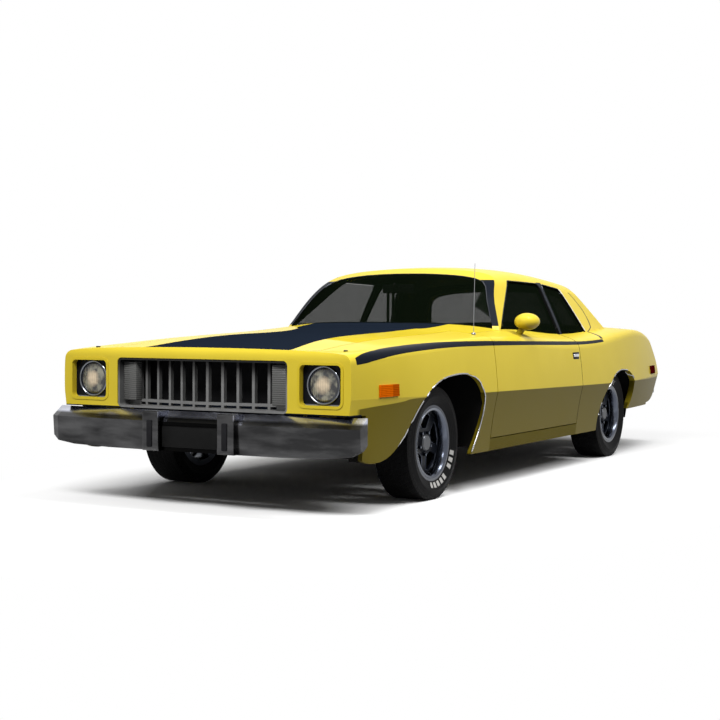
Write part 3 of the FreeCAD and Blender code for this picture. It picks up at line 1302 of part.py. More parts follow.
# Seats: outlines in side view, as shares of wheelbase behind the front axle and of
# the room between the floor and the roof.
front_seat_shares = [(0.500, 0), (0.500, 0.191), (0.650, 0.167), (0.690, 0.655),
                     (0.724, 0.655), (0.690, 0)]
rear_seat_shares = [(0.8362, 0), (0.8362, 0.141), (0.970, 0.112), (0.990, 0.547),
                    (1.008, 0.547), (1.008, 0)]


def seat(shares, floor_z, low_x, high_x):
    base = floor_z + wall + mm.seat_gap
    points = [(front(place * mm.wheelbase), base + height * (mm.roof_height - base))
              for place, height in shares]
    return side_prism(points, low_x, high_x, mm.seat_round / 2)


front_seat = seat(front_seat_shares, mm.floor_height, mm.seat_inner, mm.seat_outer)
bench = seat(rear_seat_shares, mm.rear_floor, -mm.bench_half, mm.bench_half)
feature("seats", Part.makeCompound([front_seat, mirrored(front_seat), bench]))

# Dashboard, as shares of wheelbase and belt_height, and steering wheel.
dash_shares = [(0.252, 0.675), (0.252, 0.945), (0.310, 0.970), (0.362, 0.928),
               (0.369, 0.731), (0.350, 0.633), (0.300, 0.633)]
dash_points = [(front(place * mm.wheelbase), height * mm.belt_height)
               for place, height in dash_shares]
dash = side_prism(dash_points, -mm.dash_half, mm.dash_half, mm.dash_round)
dash = dash.common(inner_body(mm.skin))
column_axis = Vector(0, math.cos(math.radians(mm.column_angle)),
                     math.sin(math.radians(mm.column_angle)))
wheel_centre = Vector(mm.wheel_half, front(mm.wheel_y), mm.belt_height - mm.wheel_drop)
ring = Part.makeTorus(mm.wheel_radius, mm.wheel_grip, wheel_centre, column_axis)
stub = Part.makeCylinder(mm.column_radius, mm.wheel_stub, wheel_centre, column_axis * -1)
spoke = box(-mm.column_radius / 2, mm.column_radius / 2, -mm.wheel_radius, mm.wheel_radius,
            -mm.wheel_grip / 2, mm.wheel_grip / 2)
spoke.Placement = Placement(wheel_centre, Rotation(Vector(1, 0, 0),
                                                   mm.column_angle - 90))
feature("steering_wheel", ring.fuse([stub, spoke]))
column_start = wheel_centre - column_axis * (mm.wheel_stub + mm.seat_gap)
column = Part.makeCylinder(mm.column_radius, mm.wheel_y - mm.firewall - mm.wheel_stub,
                           column_start, column_axis * -1)
column = column.common(across(firewall_back, along(2), 0, top_z))
feature("dashboard", dash.fuse(column))

# Door mirror, on the left door only: a smooth shell on a short foot.
shell = primitive("Ellipsoid", "mirror_shell",
                  ("mirror_half", FRONT_AXLE + " + mirror_y", "mirror_z"), Rotation(),
                  Radius1="mirror_height", Radius2="mirror_width", Radius3="mirror_length")
doc.recompute()
foot_start = Vector(mm.mirror_half, front(mm.mirror_y), mm.mirror_z)
foot_axis = Vector(-mm.mirror_width, 0, -2 * mm.mirror_height)
foot = Part.makeCylinder(mm.mirror_stalk, foot_axis.Length, foot_start, foot_axis)
mirror = shell.Shape.fuse(foot).cut(body_form)
mirror = max(mirror.Solids, key=lambda solid: solid.Volume)
feature("mirror_left", mirror)

doc.recompute()
faults = []
for item in doc.Objects:
    if "Invalid" in item.State or "Error" in item.State:
        faults.append(f"{item.Label}: {item.State}")
for node in nodes:
    if node.Shape.isNull() or not node.Shape.isValid() or not node.Shape.Solids:
        faults.append(f"{node.Label}: bad shape")
if faults:
    raise RuntimeError("; ".join(faults))
os.makedirs("parts", exist_ok=True)
for node in nodes:
    node.Shape.exportStep(os.path.join("parts", node.Label + ".step"))
print(len(nodes), "nodes written")
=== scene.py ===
import math

import bpy
from mathutils import Matrix, Vector


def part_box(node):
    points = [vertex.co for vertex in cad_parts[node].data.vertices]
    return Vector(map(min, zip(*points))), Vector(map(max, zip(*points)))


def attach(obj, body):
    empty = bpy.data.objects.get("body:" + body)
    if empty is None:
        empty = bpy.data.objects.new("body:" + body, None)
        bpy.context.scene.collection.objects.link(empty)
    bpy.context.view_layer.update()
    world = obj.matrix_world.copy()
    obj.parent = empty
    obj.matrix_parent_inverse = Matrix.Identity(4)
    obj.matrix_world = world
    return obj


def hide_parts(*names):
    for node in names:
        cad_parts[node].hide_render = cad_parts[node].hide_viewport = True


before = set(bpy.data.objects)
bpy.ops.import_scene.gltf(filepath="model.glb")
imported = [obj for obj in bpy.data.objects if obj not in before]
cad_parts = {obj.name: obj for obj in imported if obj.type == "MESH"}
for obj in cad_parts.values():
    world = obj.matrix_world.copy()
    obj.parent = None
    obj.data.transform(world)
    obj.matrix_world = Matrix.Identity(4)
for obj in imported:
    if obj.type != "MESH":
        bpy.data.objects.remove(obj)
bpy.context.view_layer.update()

# Body paint: sheet steel in yellow gloss enamel, with painted shade below the side crease, where
# it is darker and less glossy.
# The middle of the hood is black, and a black stripe starts on each front fender, runs
# below the side windows and turns up behind them. Door gaps and reveals are unpainted.
MM = 0.001


def centre_of(node, axis):
    """The middle of a CAD node along an axis."""
    return sum(end[axis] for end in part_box(node)) / 2


FRONT_AXLE = centre_of("tyre_front_left", 1)


class Value:
    """A shader socket with ordinary arithmetic."""

    def __init__(self, tree, socket):
        self.tree = tree
        self.socket = socket

    def node(self, kind, inputs, output=0, **settings):
        """Adds a node with its settings, gives it its inputs, and returns one output."""
        made = self.tree.nodes.new(kind)
        for key, value in settings.items():
            setattr(made, key, value)
        for key, value in inputs.items():
            put(self.tree, value, made.inputs[key])
        return Value(self.tree, made.outputs[output])

    def math(self, operation, *others, clamp=False):
        inputs = dict(enumerate((self,) + others))
        return self.node("ShaderNodeMath", inputs, operation=operation, use_clamp=clamp)

    def __add__(self, other):
        return self.math("ADD", other)

    __radd__ = __add__

    def __sub__(self, other):
        return self.math("SUBTRACT", other)

    def __rsub__(self, other):
        return (self * -1) + other

    def __mul__(self, other):
        return self.math("MULTIPLY", other)

    __rmul__ = __mul__

    def __truediv__(self, other):
        return self.math("DIVIDE", other)

    def __abs__(self):
        return self.math("ABSOLUTE")

    def over(self, edge, soft=0.0015):
        """1 above an edge and 0 below it, blended over a short way."""
        return ((self - edge) / soft + 0.5).math("ADD", 0, clamp=True)

    def under(self, edge, soft=0.0015):
        return 1 - self.over(edge, soft)

    def between(self, low, high, soft=0.0015):
        return self.over(low, soft) * self.under(high, soft)

    def most(self, other):
        return self.math("MAXIMUM", other)

    def wave(self, pitch):
        """A sine from 0 to 1 that repeats at a pitch."""
        return (self * (2 * math.pi / pitch)).math("SINE") * 0.5 + 0.5

    def curve(self, points):
        """A smooth curve through pairs of input and output."""
        low, high = points[0][0], points[-1][0]
        outputs = [value for _, value in points]
        base, top = min(outputs), max(outputs)
        made = self.tree.nodes.new("ShaderNodeFloatCurve")
        bend = made.mapping.curves[0]
        while len(bend.points) < len(points):
            bend.points.new(0.5, 0.5)
        for knot, (place, value) in zip(bend.points, points):
            knot.location = ((place - low) / (high - low), (value - base) / (top - base))
        made.mapping.update()
        share = ((self - low) / (high - low)).math("ADD", 0, clamp=True)
        put(self.tree, share, made.inputs["Value"])
        return Value(self.tree, made.outputs[0]) * (top - base) + base


def put(tree, value, socket):
    """Links a value to a socket, or sets it there."""
    if isinstance(value, Value):
        tree.links.new(value.socket, socket)
    elif isinstance(value, tuple) and len(value) == 3 and socket.type == "RGBA":
        socket.default_value = value + (1.0,)
    else:
        socket.default_value = value


class Finish:
    """A material on one Principled BSDF, with the places on the piece that shape it."""

    def __init__(self, name, **constants):
        self.material = bpy.data.materials.new(name)
        self.material.use_nodes = True
        self.tree = self.material.node_tree
        self.shader = self.tree.nodes["Principled BSDF"]
        self.set(**constants)
        where = self.tree.nodes.new("ShaderNodeTexCoord")
        self.place = Value(self.tree, where.outputs["Object"])
        self.facing = Value(self.tree, where.outputs["Normal"])
        split = self.tree.nodes.new("ShaderNodeSeparateXYZ")
        self.tree.links.new(where.outputs["Object"], split.inputs[0])
        self.x, self.y, self.z = [Value(self.tree, output) for output in split.outputs]

    def set(self, **values):
        for key, value in values.items():
            put(self.tree, value, self.shader.inputs[key.replace("_", " ")])

    def noise(self, scale, detail=2.0, stretch=(1, 1, 1)):
        place = self.place.node("ShaderNodeVectorMath", {0: self.place, 1: stretch},
                                operation="MULTIPLY")
        return place.node("ShaderNodeTexNoise", {"Vector": place, "Scale": scale,
                                                 "Detail": detail})

    def mix(self, factor, first, second):
        """Colours, from the first at 0 to the second at 1."""
        return self.place.node("ShaderNodeMix", {0: factor, 6: first, 7: second}, 2,
                               data_type="RGBA")

    def faces(self, point):
        """1 where the surface faces a point, else 0."""
        away = self.place.node("ShaderNodeVectorMath", {0: self.place, 1: point},
                               operation="SUBTRACT")
        along = self.facing.node("ShaderNodeVectorMath", {0: self.facing, 1: away}, 1,
                                 operation="DOT_PRODUCT")
        return along.under(0, 0.02)

    def bump(self, height, distance, strength=1.0):
        self.set(Normal=height.node("ShaderNodeBump", {"Height": height, "Distance": distance,
                                                       "Strength": strength}))


def dress(finish, *names):
    """Gives CAD nodes a material."""
    for name in names:
        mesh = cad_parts[name].data
        mesh.materials.clear()
        mesh.materials.append(finish.material)


def on_car(points):
    """Pairs whose first value is millimetres behind the front axle, in metres."""
    return [(FRONT_AXLE + place * MM, value * MM) for place, value in points]


def region(finish, places=(None, None), heights=(None, None), halves=(None, None)):
    """1 inside bounds along, up and across the car, in metres; None leaves an end open.

    Places count from the front axle to the rear, and halves from the middle to each side.
    """
    mask = 1
    ways = ((finish.y - FRONT_AXLE, places), (finish.z, heights), (abs(finish.x), halves))
    for value, (low, high) in ways:
        if low is not None:
            mask = value.over(low) * mask
        if high is not None:
            mask = value.under(high) * mask
    return mask


YELLOW = (0.65, 0.505, 0.036)
YELLOW_DEEP = (0.60, 0.46, 0.028)
# The body's yellow darkened as painted shade, used below the crease and on the mirror's lower
# half.
YELLOW_PAINTED_SHADE = (0.165, 0.128, 0.008)
BLACK = (0.003, 0.005, 0.010)
# Black of the hood, lighter and bluer than the other black: painted reflection of the sky.
BLACK_SKY_REFLECTION = (0.008, 0.012, 0.020)
# Pale line on the pillar behind the rear side window: a bright strip drawn in paint, its colour a
# painted highlight.
CREAM_HIGHLIGHT = (0.62, 0.60, 0.53)
LINING = (0.006, 0.006, 0.006)
# Edges of the stripe, as half width less height, from its tip to the rear corner.
STRIPE_UPPER = [(-935, 112), (-909, 98), (-700, 51), (-391, 22), (-124, 33), (116, 51),
                (537, 68), (1207, 76), (1887, 68), (2287, 74), (2620, 66)]
STRIPE_LOWER = [(-935, 130), (-918, 148), (-766, 141), (-499, 122), (-203, 112), (69, 107),
                (519, 106), (1179, 112), (1829, 113), (2247, 112), (2520, 104), (2620, 96)]
STRIPE_RUN = {"places": (-0.926, 2.60), "halves": (0.5, None)}
# The thin end of the stripe behind the side window: height and place, then height in metres
# and half of its width there.
STRIPE_END = [(858, 2580), (885, 2615), (914, 2650), (940, 2735), (965, 2780), (1050, 2775),
              (1128, 2722), (1192, 2650), (1215, 2615)]
STRIPE_END_HALF = [(0.86, 0.030), (0.95, 0.010), (1.22, 0.007)]
STRIPE_TURN = {"heights": (0.872, 1.205), "halves": (0.5, None)}
# Half width of the black field on the hood, from the nose to the cowl.
HOOD_BLACK = [(-905, 495), (-650, 448), (-400, 412), (0, 385), (300, 365), (620, 400),
              (800, 485), (1100, 500)]
HOOD_FIELD = {"places": (-0.905, 1.12), "heights": (0.6, None)}
NOSE_TOP = {"places": (None, -0.5), "heights": (0.80, None)}
# Height of the crease along the side. Below it the paint is darker and less glossy, as painted
# shade.
CREASE = [(-980, 545), (-864, 553), (-735, 560), (-595, 566), (-473, 574), (-330, 584), (0, 584),
          (540, 578), (2624, 554), (3500, 549), (4250, 552)]
CREASE_START = FRONT_AXLE - 0.90
SKIRT_HALF = 0.75
# The walls behind the swept grille, and the gap between the nose panel and the bumper; both are
# painted black as painted shade.
NOSE_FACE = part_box("nose_panel")[0][1]
NOSE_SWEEP = 0.146
WALL_START, WALL_END = NOSE_FACE + 0.022, NOSE_FACE + 0.25
GRILLE_WALLS = {"heights": (0.45, 0.80), "halves": (None, 0.551)}
BUMPER_GAP = {"places": (None, -0.87), "heights": (None, 0.523), "halves": (None, 0.925)}
# The bar between the side windows; the front faces of the front pillars, painted black as painted
# shade; and the cream moulding on the pillar behind the rear side window, which leans by its
# slope, whose pale colour is a painted highlight of a bright strip.
WINDOW_BAR = {"places": (2.070, 2.158), "heights": (0.905, 1.262), "halves": (0.55, None)}
FRONT_PILLARS = {"places": (0.6, 1.6), "heights": (0.963, 1.262), "halves": (0.54, None)}
AHEAD = (0, FRONT_AXLE - 2, 1.1)
MOULDING = {"heights": (0.93, 1.224), "halves": (0.5, None)}
MOULDING_FOOT = (FRONT_AXLE + 2.646, 0.850)
MOULDING_SLOPE = 0.489
MOULDING_WIDTH = (-0.004, 0.022)
# What faces the cabin round the doors and the windows.
CABIN = (0, FRONT_AXLE + 1.9, 0.9)
DOOR_GAPS = {"places": (0.98, 2.6), "heights": (0.32, None)}
REVEALS = {"places": (0.98, 3.1), "heights": (0.90, None)}
HOOD_SHINE, SIDE_SHINE, SHADE_COAT_LOSS = 0.42, 0.17, 0.15


def stripe(finish):
    """1 on the stripe of each side and on its thin end."""
    ramp = abs(finish.x) - finish.z
    run = ramp.over(finish.y.curve(on_car(STRIPE_UPPER)))
    run = run * ramp.under(finish.y.curve(on_car(STRIPE_LOWER)))
    line = finish.z.curve([(height * MM, FRONT_AXLE + place * MM)
                           for height, place in STRIPE_END])
    turn = abs(finish.y - line).under(finish.z.curve(STRIPE_END_HALF))
    return (run * region(finish, **STRIPE_RUN)).most(turn * region(finish, **STRIPE_TURN))


def black_on_sides(finish, field):
    """1 where the nose, the sides and the pillars are black: black paint on the stripe, the bar
    and the nose's top, and painted shade on the walls behind the grille, the gap above the bumper
    and the pillars' front faces.
    """
    sweep = finish.y - abs(finish.x) * NOSE_SWEEP
    black = stripe(finish).most(region(finish, **WINDOW_BAR))
    # The walls behind the grille and the gap above the bumper: painted shade in black.
    black = black.most(sweep.between(WALL_START, WALL_END) * region(finish, **GRILLE_WALLS))
    black = black.most(region(finish, **BUMPER_GAP)).most(field * region(finish, **NOSE_TOP))
    return black.most(finish.faces(AHEAD) * region(finish, **FRONT_PILLARS))


def paint_finish(name, hood=False):
    """Enamel of the hood and the cowl, or of all the rest of the body."""
    finish = Finish(name, Specular_IOR_Level=0.0 if hood else 0.03, Coat_Roughness=0.03)
    half = abs(finish.x)
    tone = finish.noise(1.7, 3.0)
    colour = finish.mix(tone.between(0.42, 0.62, 0.3), YELLOW, YELLOW_DEEP)
    # Below the crease the yellow is darkened and the coat thinned, as painted shade.
    low_shade = finish.z.under(finish.y.curve(on_car(CREASE)), 0.004) * half.over(SKIRT_HALF)
    colour = finish.mix(low_shade * finish.y.over(CREASE_START, 0.03), colour, YELLOW_PAINTED_SHADE)
    black = half.under(finish.y.curve(on_car(HOOD_BLACK))) * region(finish, **HOOD_FIELD)
    shine = HOOD_SHINE
    if not hood:
        black = black_on_sides(finish, black)
        shine = SIDE_SHINE - low_shade * SHADE_COAT_LOSS
    # On the hood the black is lighter and bluer, as painted reflection of the sky.
    colour = finish.mix(black, colour, BLACK_SKY_REFLECTION if hood else BLACK)
    if not hood:
        foot_y, foot_z = MOULDING_FOOT
        behind = finish.y - foot_y + (finish.z - foot_z) * MOULDING_SLOPE
        # The moulding's pale line is a painted highlight of a bright strip.
        moulding = behind.between(*MOULDING_WIDTH) * region(finish, **MOULDING)
        colour = finish.mix(moulding, colour, CREAM_HIGHLIGHT)
    lining = region(finish, **DOOR_GAPS).most(region(finish, **REVEALS)) * finish.faces(CABIN)
    finish.set(Base_Color=finish.mix(lining, colour, LINING),
               Coat_Weight=(1 - black) * shine * (1 - lining),
               Roughness=(tone * 0.10 + 0.30) + lining * 0.3)
    finish.bump(finish.noise(260, 2.0), 0.00006, 0.5)
    return finish


side_paint = paint_finish("yellow_paint")
hood_paint = paint_finish("hood_paint", hood=True)
dress(side_paint, "roof", "quarter_panels", "fender_left", "fender_right", "nose_panel",
      "door_left", "door_right", "trunk_lid")
dress(hood_paint, "hood", "cowl")

# Underbody: pressed and welded steel under a coat of rough black sealer, with road dust low down.
# The outer sills are painted in the colour of the body, much darker as painted shade.
UNDER_BLACK = (0.010, 0.010, 0.011)
STEEL_GREY = (0.035, 0.034, 0.034)
DUST = (0.060, 0.052, 0.042)
SILL_YELLOW_SHADED = (0.105, 0.082, 0.005)
SILLS = {"places": (0.55, 2.14), "heights": (None, 0.31), "halves": (0.80, None)}
DUST_TOP = 0.35


def under_finish(name, base, sills=False):
    """Sealer or bare steel with road dust; the sills are painted on the floor pan."""
    finish = Finish(name, Specular_IOR_Level=0.06)
    dust = finish.noise(14, 5.0) * finish.z.under(DUST_TOP, 0.5)
    colour = finish.mix(dust * 0.5, base, DUST)
    if sills:
        painted = region(finish, **SILLS)
        # The sills' yellow is darkened as painted shade.
        colour = finish.mix(painted, colour, SILL_YELLOW_SHADED)
        finish.set(Roughness=0.75 - painted * 0.15)
    else:
        finish.set(Roughness=finish.noise(40, 3.0) * 0.3 + 0.55)
    finish.set(Base_Color=colour)
    finish.bump(finish.noise(120, 4.0), 0.0006, 0.6)
    return finish


floor_sealer = under_finish("floor_sealer", UNDER_BLACK, sills=True)
sealer = under_finish("sealer", UNDER_BLACK)
bare_steel = under_finish("chassis_steel", STEEL_GREY)
bare_steel.set(Metallic=0.6)
dress(floor_sealer, "floor_pan")
dress(sealer, "front_rails", "fuel_tank")
dress(bare_steel, "crossmember", "knuckle_left", "knuckle_right", "rear_axle", "leaf_springs",
      "driveshaft")

# Exhaust: one pipe with its muffler, of thin aluminised steel that heat has browned, hung
# from the floor pan.
STEEL_PALE, STEEL_BROWN = (0.30, 0.28, 0.26), (0.16, 0.10, 0.06)
hot_steel = Finish("exhaust_steel", Metallic=0.9)
heat = hot_steel.noise(7, 3.0, (1, 0.4, 1))
hot_steel.set(Base_Color=hot_steel.mix(heat, STEEL_PALE, STEEL_BROWN),
              Roughness=heat * 0.3 + 0.35)
dress(hot_steel, "exhaust")

# Windows: curved panes of tinted safety glass, set in rubber in the roof and the doors. The side
# panes of the left are made nearly opaque and dark, as painted shade of the cabin behind them.
GLASS_DARK, GLASS_GREEN = (0.002, 0.004, 0.002), (0.004, 0.006, 0.003)
GLASS_ALPHA, SIDE_PANE_SHADE_ALPHA = 0.465, 0.42
SIDE_PANE_HALF = 0.60
SIDE_PANE_FRONT = FRONT_AXLE + 1.152
glass = Finish("glass", Roughness=0.05, Specular_IOR_Level=0.0)
ripple = glass.noise(1.3, 1.0)
# Extra opacity on the left side panes: painted shade of the cabin.
left_pane_shade = glass.x.over(SIDE_PANE_HALF) * glass.y.over(SIDE_PANE_FRONT)
glass.set(Base_Color=glass.mix(ripple, GLASS_DARK, GLASS_GREEN),
          Alpha=ripple * 0.02 + GLASS_ALPHA + left_pane_shade * SIDE_PANE_SHADE_ALPHA)
dress(glass, "windshield", "rear_window", "door_glass_left", "door_glass_right",
      "quarter_glass")

# Bumpers: heavy pressed steel bars with bright chrome plate, bolted to the rails. The front
# one carries two guards with rubber strips, and a black panel without a plate's marks lies
# in its recess.
CHROME = (0.62, 0.63, 0.65)
# Painted reflections on the chrome: the dark ground low down and on the guards, the pale sky on
# the front bumper above, and painted shade in the plate's recess.
GROUND_REFLECTION_DARK, GROUND_REFLECTION_PALE = (0.030, 0.030, 0.031), (0.090, 0.090, 0.092)
SKY_REFLECTION_DARK, SKY_REFLECTION_PALE = (0.26, 0.27, 0.33), (0.66, 0.68, 0.78)
RECESS_SHADE = (0.003, 0.003, 0.003)
RUBBER = (0.008, 0.008, 0.009)
WORN_SHARE, BLOOM_SHARE = 0.82, 2.2
PANEL_BLACK = (0.004, 0.004, 0.004)
FRONT_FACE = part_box("front_bumper")[0][1]
BUMPER_LOW, BUMPER_TOP = [end[2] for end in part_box("front_bumper")]
# Height below which the chrome shows a painted reflection of the dark ground.
GROUND_REFLECTION_TOP = 0.482
RECESS_HALF = 0.200
GUARD_INNER, GUARD_OUTER = 0.19, 0.29


def bumper_painted_light(finish, bright):
    """Chrome's colour on the bumpers: streaked, with a painted reflection of the dark ground low
    down and on the guards, a painted reflection of the sky on the front bumper above, and painted
    shade in the plate's recess.
    """
    half = abs(finish.x)
    streaks = finish.noise(7, 6.0, (0.5, 1, 2.2)).over(0.52, 0.30)
    ground_reflection = finish.mix(streaks, GROUND_REFLECTION_DARK, GROUND_REFLECTION_PALE)
    recess = half.under(RECESS_HALF) * finish.y.over(FRONT_FACE + 0.022)
    ground_reflection = finish.mix(recess, ground_reflection, RECESS_SHADE)
    guard = half.between(GUARD_INNER, GUARD_OUTER) * finish.y.under(FRONT_FACE + 0.03)
    sky_reflection = finish.mix(streaks, SKY_REFLECTION_DARK, SKY_REFLECTION_PALE)
    bright = finish.mix(finish.y.under(0), bright, sky_reflection)
    return finish.mix(finish.z.under(GROUND_REFLECTION_TOP, 0.012).most(guard), bright, ground_reflection)


def chrome_finish(name, low=0.06, high=0.16, colour=CHROME, retint=None):
    """Chrome plate between two roughnesses; a function given as its last argument may change its
    colour further, and on the bumpers it paints reflections and shade.
    """
    finish = Finish(name, Metallic=1.0)
    haze = finish.noise(5, 4.0)
    colour = finish.mix(haze, colour, tuple(WORN_SHARE * part for part in colour))
    if retint:
        colour = retint(finish, colour)
    spots = finish.noise(60, 3.0)
    finish.set(Base_Color=colour, Roughness=haze * (high - low) + spots * 0.04 + low)
    finish.bump(finish.noise(3.5, 2.0), 0.002, 0.25)
    return finish


def rubber_finish(name, colour, rough=0.6):
    """Black rubber, or plastic and paint as dull as rubber, with a pale bloom."""
    finish = Finish(name, Specular_IOR_Level=0.06)
    bloom = finish.noise(30, 4.0)
    finish.set(Base_Color=finish.mix(bloom, colour, tuple(BLOOM_SHARE * part for part in colour)),
               Roughness=bloom * 0.2 + rough)
    finish.bump(finish.noise(300, 2.0), 0.0002, 0.5)
    return finish


def only(piece):
    """Selects one piece alone and makes it the active one."""
    bpy.ops.object.select_all(action="DESELECT")
    bpy.context.view_layer.objects.active = piece
    piece.select_set(True)


def edit(*steps):
    """Runs edit-mode operators on the whole of the active piece."""
    bpy.ops.object.mode_set(mode="EDIT")
    for step in steps:
        bpy.ops.mesh.select_all(action="SELECT")
        step()
    bpy.ops.object.mode_set(mode="OBJECT")


def fixed(piece, name, finish, body="body", angle=35):
    """Applies what is left on a piece, then names it, finishes it and fixes it on a body."""
    only(piece)
    for modifier in list(piece.modifiers):
        bpy.ops.object.modifier_apply(modifier=modifier.name)
    bpy.ops.object.transform_apply(location=True, rotation=True, scale=True)
    edit(lambda: bpy.ops.mesh.normals_make_consistent(inside=False))
    bpy.ops.object.shade_smooth_by_angle(angle=math.radians(angle))
    piece.name = name
    piece.data.name = name
    piece.data.materials.clear()
    piece.data.materials.append(finish.material)
    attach(piece, body)
    return piece


def bevelled(piece, width, segments=2):
    """Rounds the sharp edges of a piece."""
    only(piece)
    bpy.ops.object.transform_apply(location=True, rotation=True, scale=True)
    made = piece.modifiers.new("edges", "BEVEL")
    made.width = width
    made.segments = segments
    made.limit_method = "ANGLE"
    bpy.ops.object.modifier_apply(modifier=made.name)
    return piece


def slab(low, high, edge):
    """A block between two corners, with its edges rounded."""
    bpy.ops.object.select_all(action="DESELECT")
    middle = [(a + b) / 2 for a, b in zip(low, high)]
    bpy.ops.mesh.primitive_cube_add(size=1, location=middle)
    bpy.context.object.scale = [b - a for a, b in zip(low, high)]
    return bevelled(bpy.context.object, edge)


def drum(middle, axis, radius, length, edge=0, sides=32):
    """A disc or a rod along an axis, with its ends rounded."""
    bpy.ops.object.select_all(action="DESELECT")
    turn = Vector(axis).to_track_quat("Z", "Y").to_euler()
    bpy.ops.mesh.primitive_cylinder_add(vertices=sides, radius=radius, depth=length,
                                        location=middle, rotation=turn)
    made = bpy.context.object
    return bevelled(made, edge) if edge else made


def wire(points, radius, closed=False, fineness=2):
    """A round bar along a line of points."""
    bpy.ops.object.select_all(action="DESELECT")
    line = bpy.data.curves.new("line", "CURVE")
    line.dimensions = "3D"
    line.bevel_depth = radius
    line.bevel_resolution = fineness
    line.use_fill_caps = True
    run = line.splines.new("POLY")
    run.points.add(len(points) - 1)
    for knot, point in zip(run.points, points):
        knot.co = (*point, 1)
    run.use_cyclic_u = closed
    made = bpy.data.objects.new("line", line)
    bpy.context.scene.collection.objects.link(made)
    only(made)
    bpy.ops.object.convert(target="MESH")
    return bpy.context.object


def scaled(piece, middle, value):
    """Scales a piece about its middle, in its mesh."""
    only(piece)
    edit(lambda: bpy.ops.transform.resize(value=value, center_override=middle))


def joined(pieces):
    """Makes one piece of several."""
    only(pieces[0])
    for piece in pieces[1:]:
        piece.select_set(True)
    bpy.ops.object.join()
    return bpy.context.object


def other_side(piece):
    """The same piece on the car's right."""
    made = piece.copy()
    made.data = piece.data.copy()
    bpy.context.scene.collection.objects.link(made)
    only(made)
    bpy.ops.object.transform_apply(location=True, rotation=True, scale=True)
    made.data.transform(Matrix.Scale(-1, 4, (1, 0, 0)))
    return made


chrome = chrome_finish("chrome")
bumper_chrome = chrome_finish("bumper_chrome", 0.10, 0.26, retint=bumper_painted_light)
rubber = rubber_finish("rubber", RUBBER)
dress(bumper_chrome, "front_bumper", "rear_bumper")
GUARD_HALF = (GUARD_INNER + GUARD_OUTER) / 2
STRIP_HALF, STRIP_EDGE = 0.017, 0.006
strips = [slab((x - STRIP_HALF, FRONT_FACE - 0.007, BUMPER_LOW + 0.02),
               (x + STRIP_HALF, FRONT_FACE + 0.010, BUMPER_TOP - 0.045), STRIP_EDGE)
          for x in (-GUARD_HALF, GUARD_HALF)]
fixed(joined(strips), "guard_strips", rubber)
PANEL_HALF, PANEL_EDGE = 0.184, 0.002
PANEL_Y = FRONT_FACE + 0.040
plate_black = rubber_finish("plate_black", PANEL_BLACK, 0.45)
plate = slab((-PANEL_HALF, PANEL_Y - 0.006, BUMPER_LOW + 0.021),
             (PANEL_HALF, PANEL_Y - 0.0005, BUMPER_LOW + 0.135), PANEL_EDGE)
fixed(plate, "front_plate_panel", plate_black)

# Grille: a zinc die casting with a plain grey face, swept back to both sides and screwed to
# the nose panel. Its upper part lies in the shade. A parking lamp behind clear ribs of
# moulded plastic stands in front of each end.
GRILLE_GREY, GRILLE_WORN = (0.20, 0.20, 0.195), (0.14, 0.14, 0.14)
GRILLE_SHADE = (0.01, 0.01, 0.01)
SHADE_HEIGHT = 0.705
cast_grey = Finish("grille", Metallic=0.35, Specular_IOR_Level=0.1)
wear = cast_grey.noise(22, 4.0)
shaded = cast_grey.z.over(SHADE_HEIGHT, 0.10) * 0.93
face_colour = cast_grey.mix(wear, GRILLE_GREY, GRILLE_WORN)
cast_grey.set(Base_Color=cast_grey.mix(shaded, face_colour, GRILLE_SHADE),
              Roughness=wear * 0.2 + 0.32)
dress(cast_grey, "grille")
LENS_DARK, LENS_PALE = (0.075, 0.075, 0.072), (0.13, 0.13, 0.125)
LENS_INNER, LENS_OUTER = 0.432, 0.528
LENS_LOW, LENS_TOP, LENS_EDGE = 0.556, 0.764, 0.003
LENS_FRONT, LENS_BACK = -0.040, 0.004
RIB_PITCH = 0.011
# The grille goes back by 80 mm over its half width of 547 mm.
GRILLE_SWEEP = 0.080 / 0.547
lens_clear = Finish("parking_lens", Coat_Weight=0.1, Specular_IOR_Level=0.1)
ribs = lens_clear.z.wave(RIB_PITCH)
lens_clear.set(Base_Color=lens_clear.mix(ribs, LENS_DARK, LENS_PALE),
               Roughness=ribs * 0.1 + 0.12)
lens_clear.bump(ribs, 0.0012)
lenses = []
for sign in (-1, 1):
    low_x, high_x = sorted((sign * LENS_INNER, sign * LENS_OUTER))
    made = slab((low_x, LENS_FRONT, LENS_LOW), (high_x, LENS_BACK, LENS_TOP), LENS_EDGE)
    middle = (low_x + high_x) / 2
    lens_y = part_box("grille")[0][1] + GRILLE_SWEEP * abs(middle) - 0.003
    made.data.transform(Matrix.Translation((-middle, 0, 0)))
    made.data.transform(Matrix.Rotation(math.atan(GRILLE_SWEEP) * sign, 4, "Z"))
    made.data.transform(Matrix.Translation((middle, lens_y, 0)))
    lenses.append(made)
fixed(joined(lenses), "parking_lamps", lens_clear)

# Headlamps: sealed round lamps of glass with moulded flutes, each in a chrome ring and sunk in a
# square bezel of sheet steel. The bezel is yellow at its front; inside, it is black as painted
# shade, with a painted highlight in grey on its lower ledge.
LAMP_HALF = 0.742
LAMP_HEIGHT = 0.668
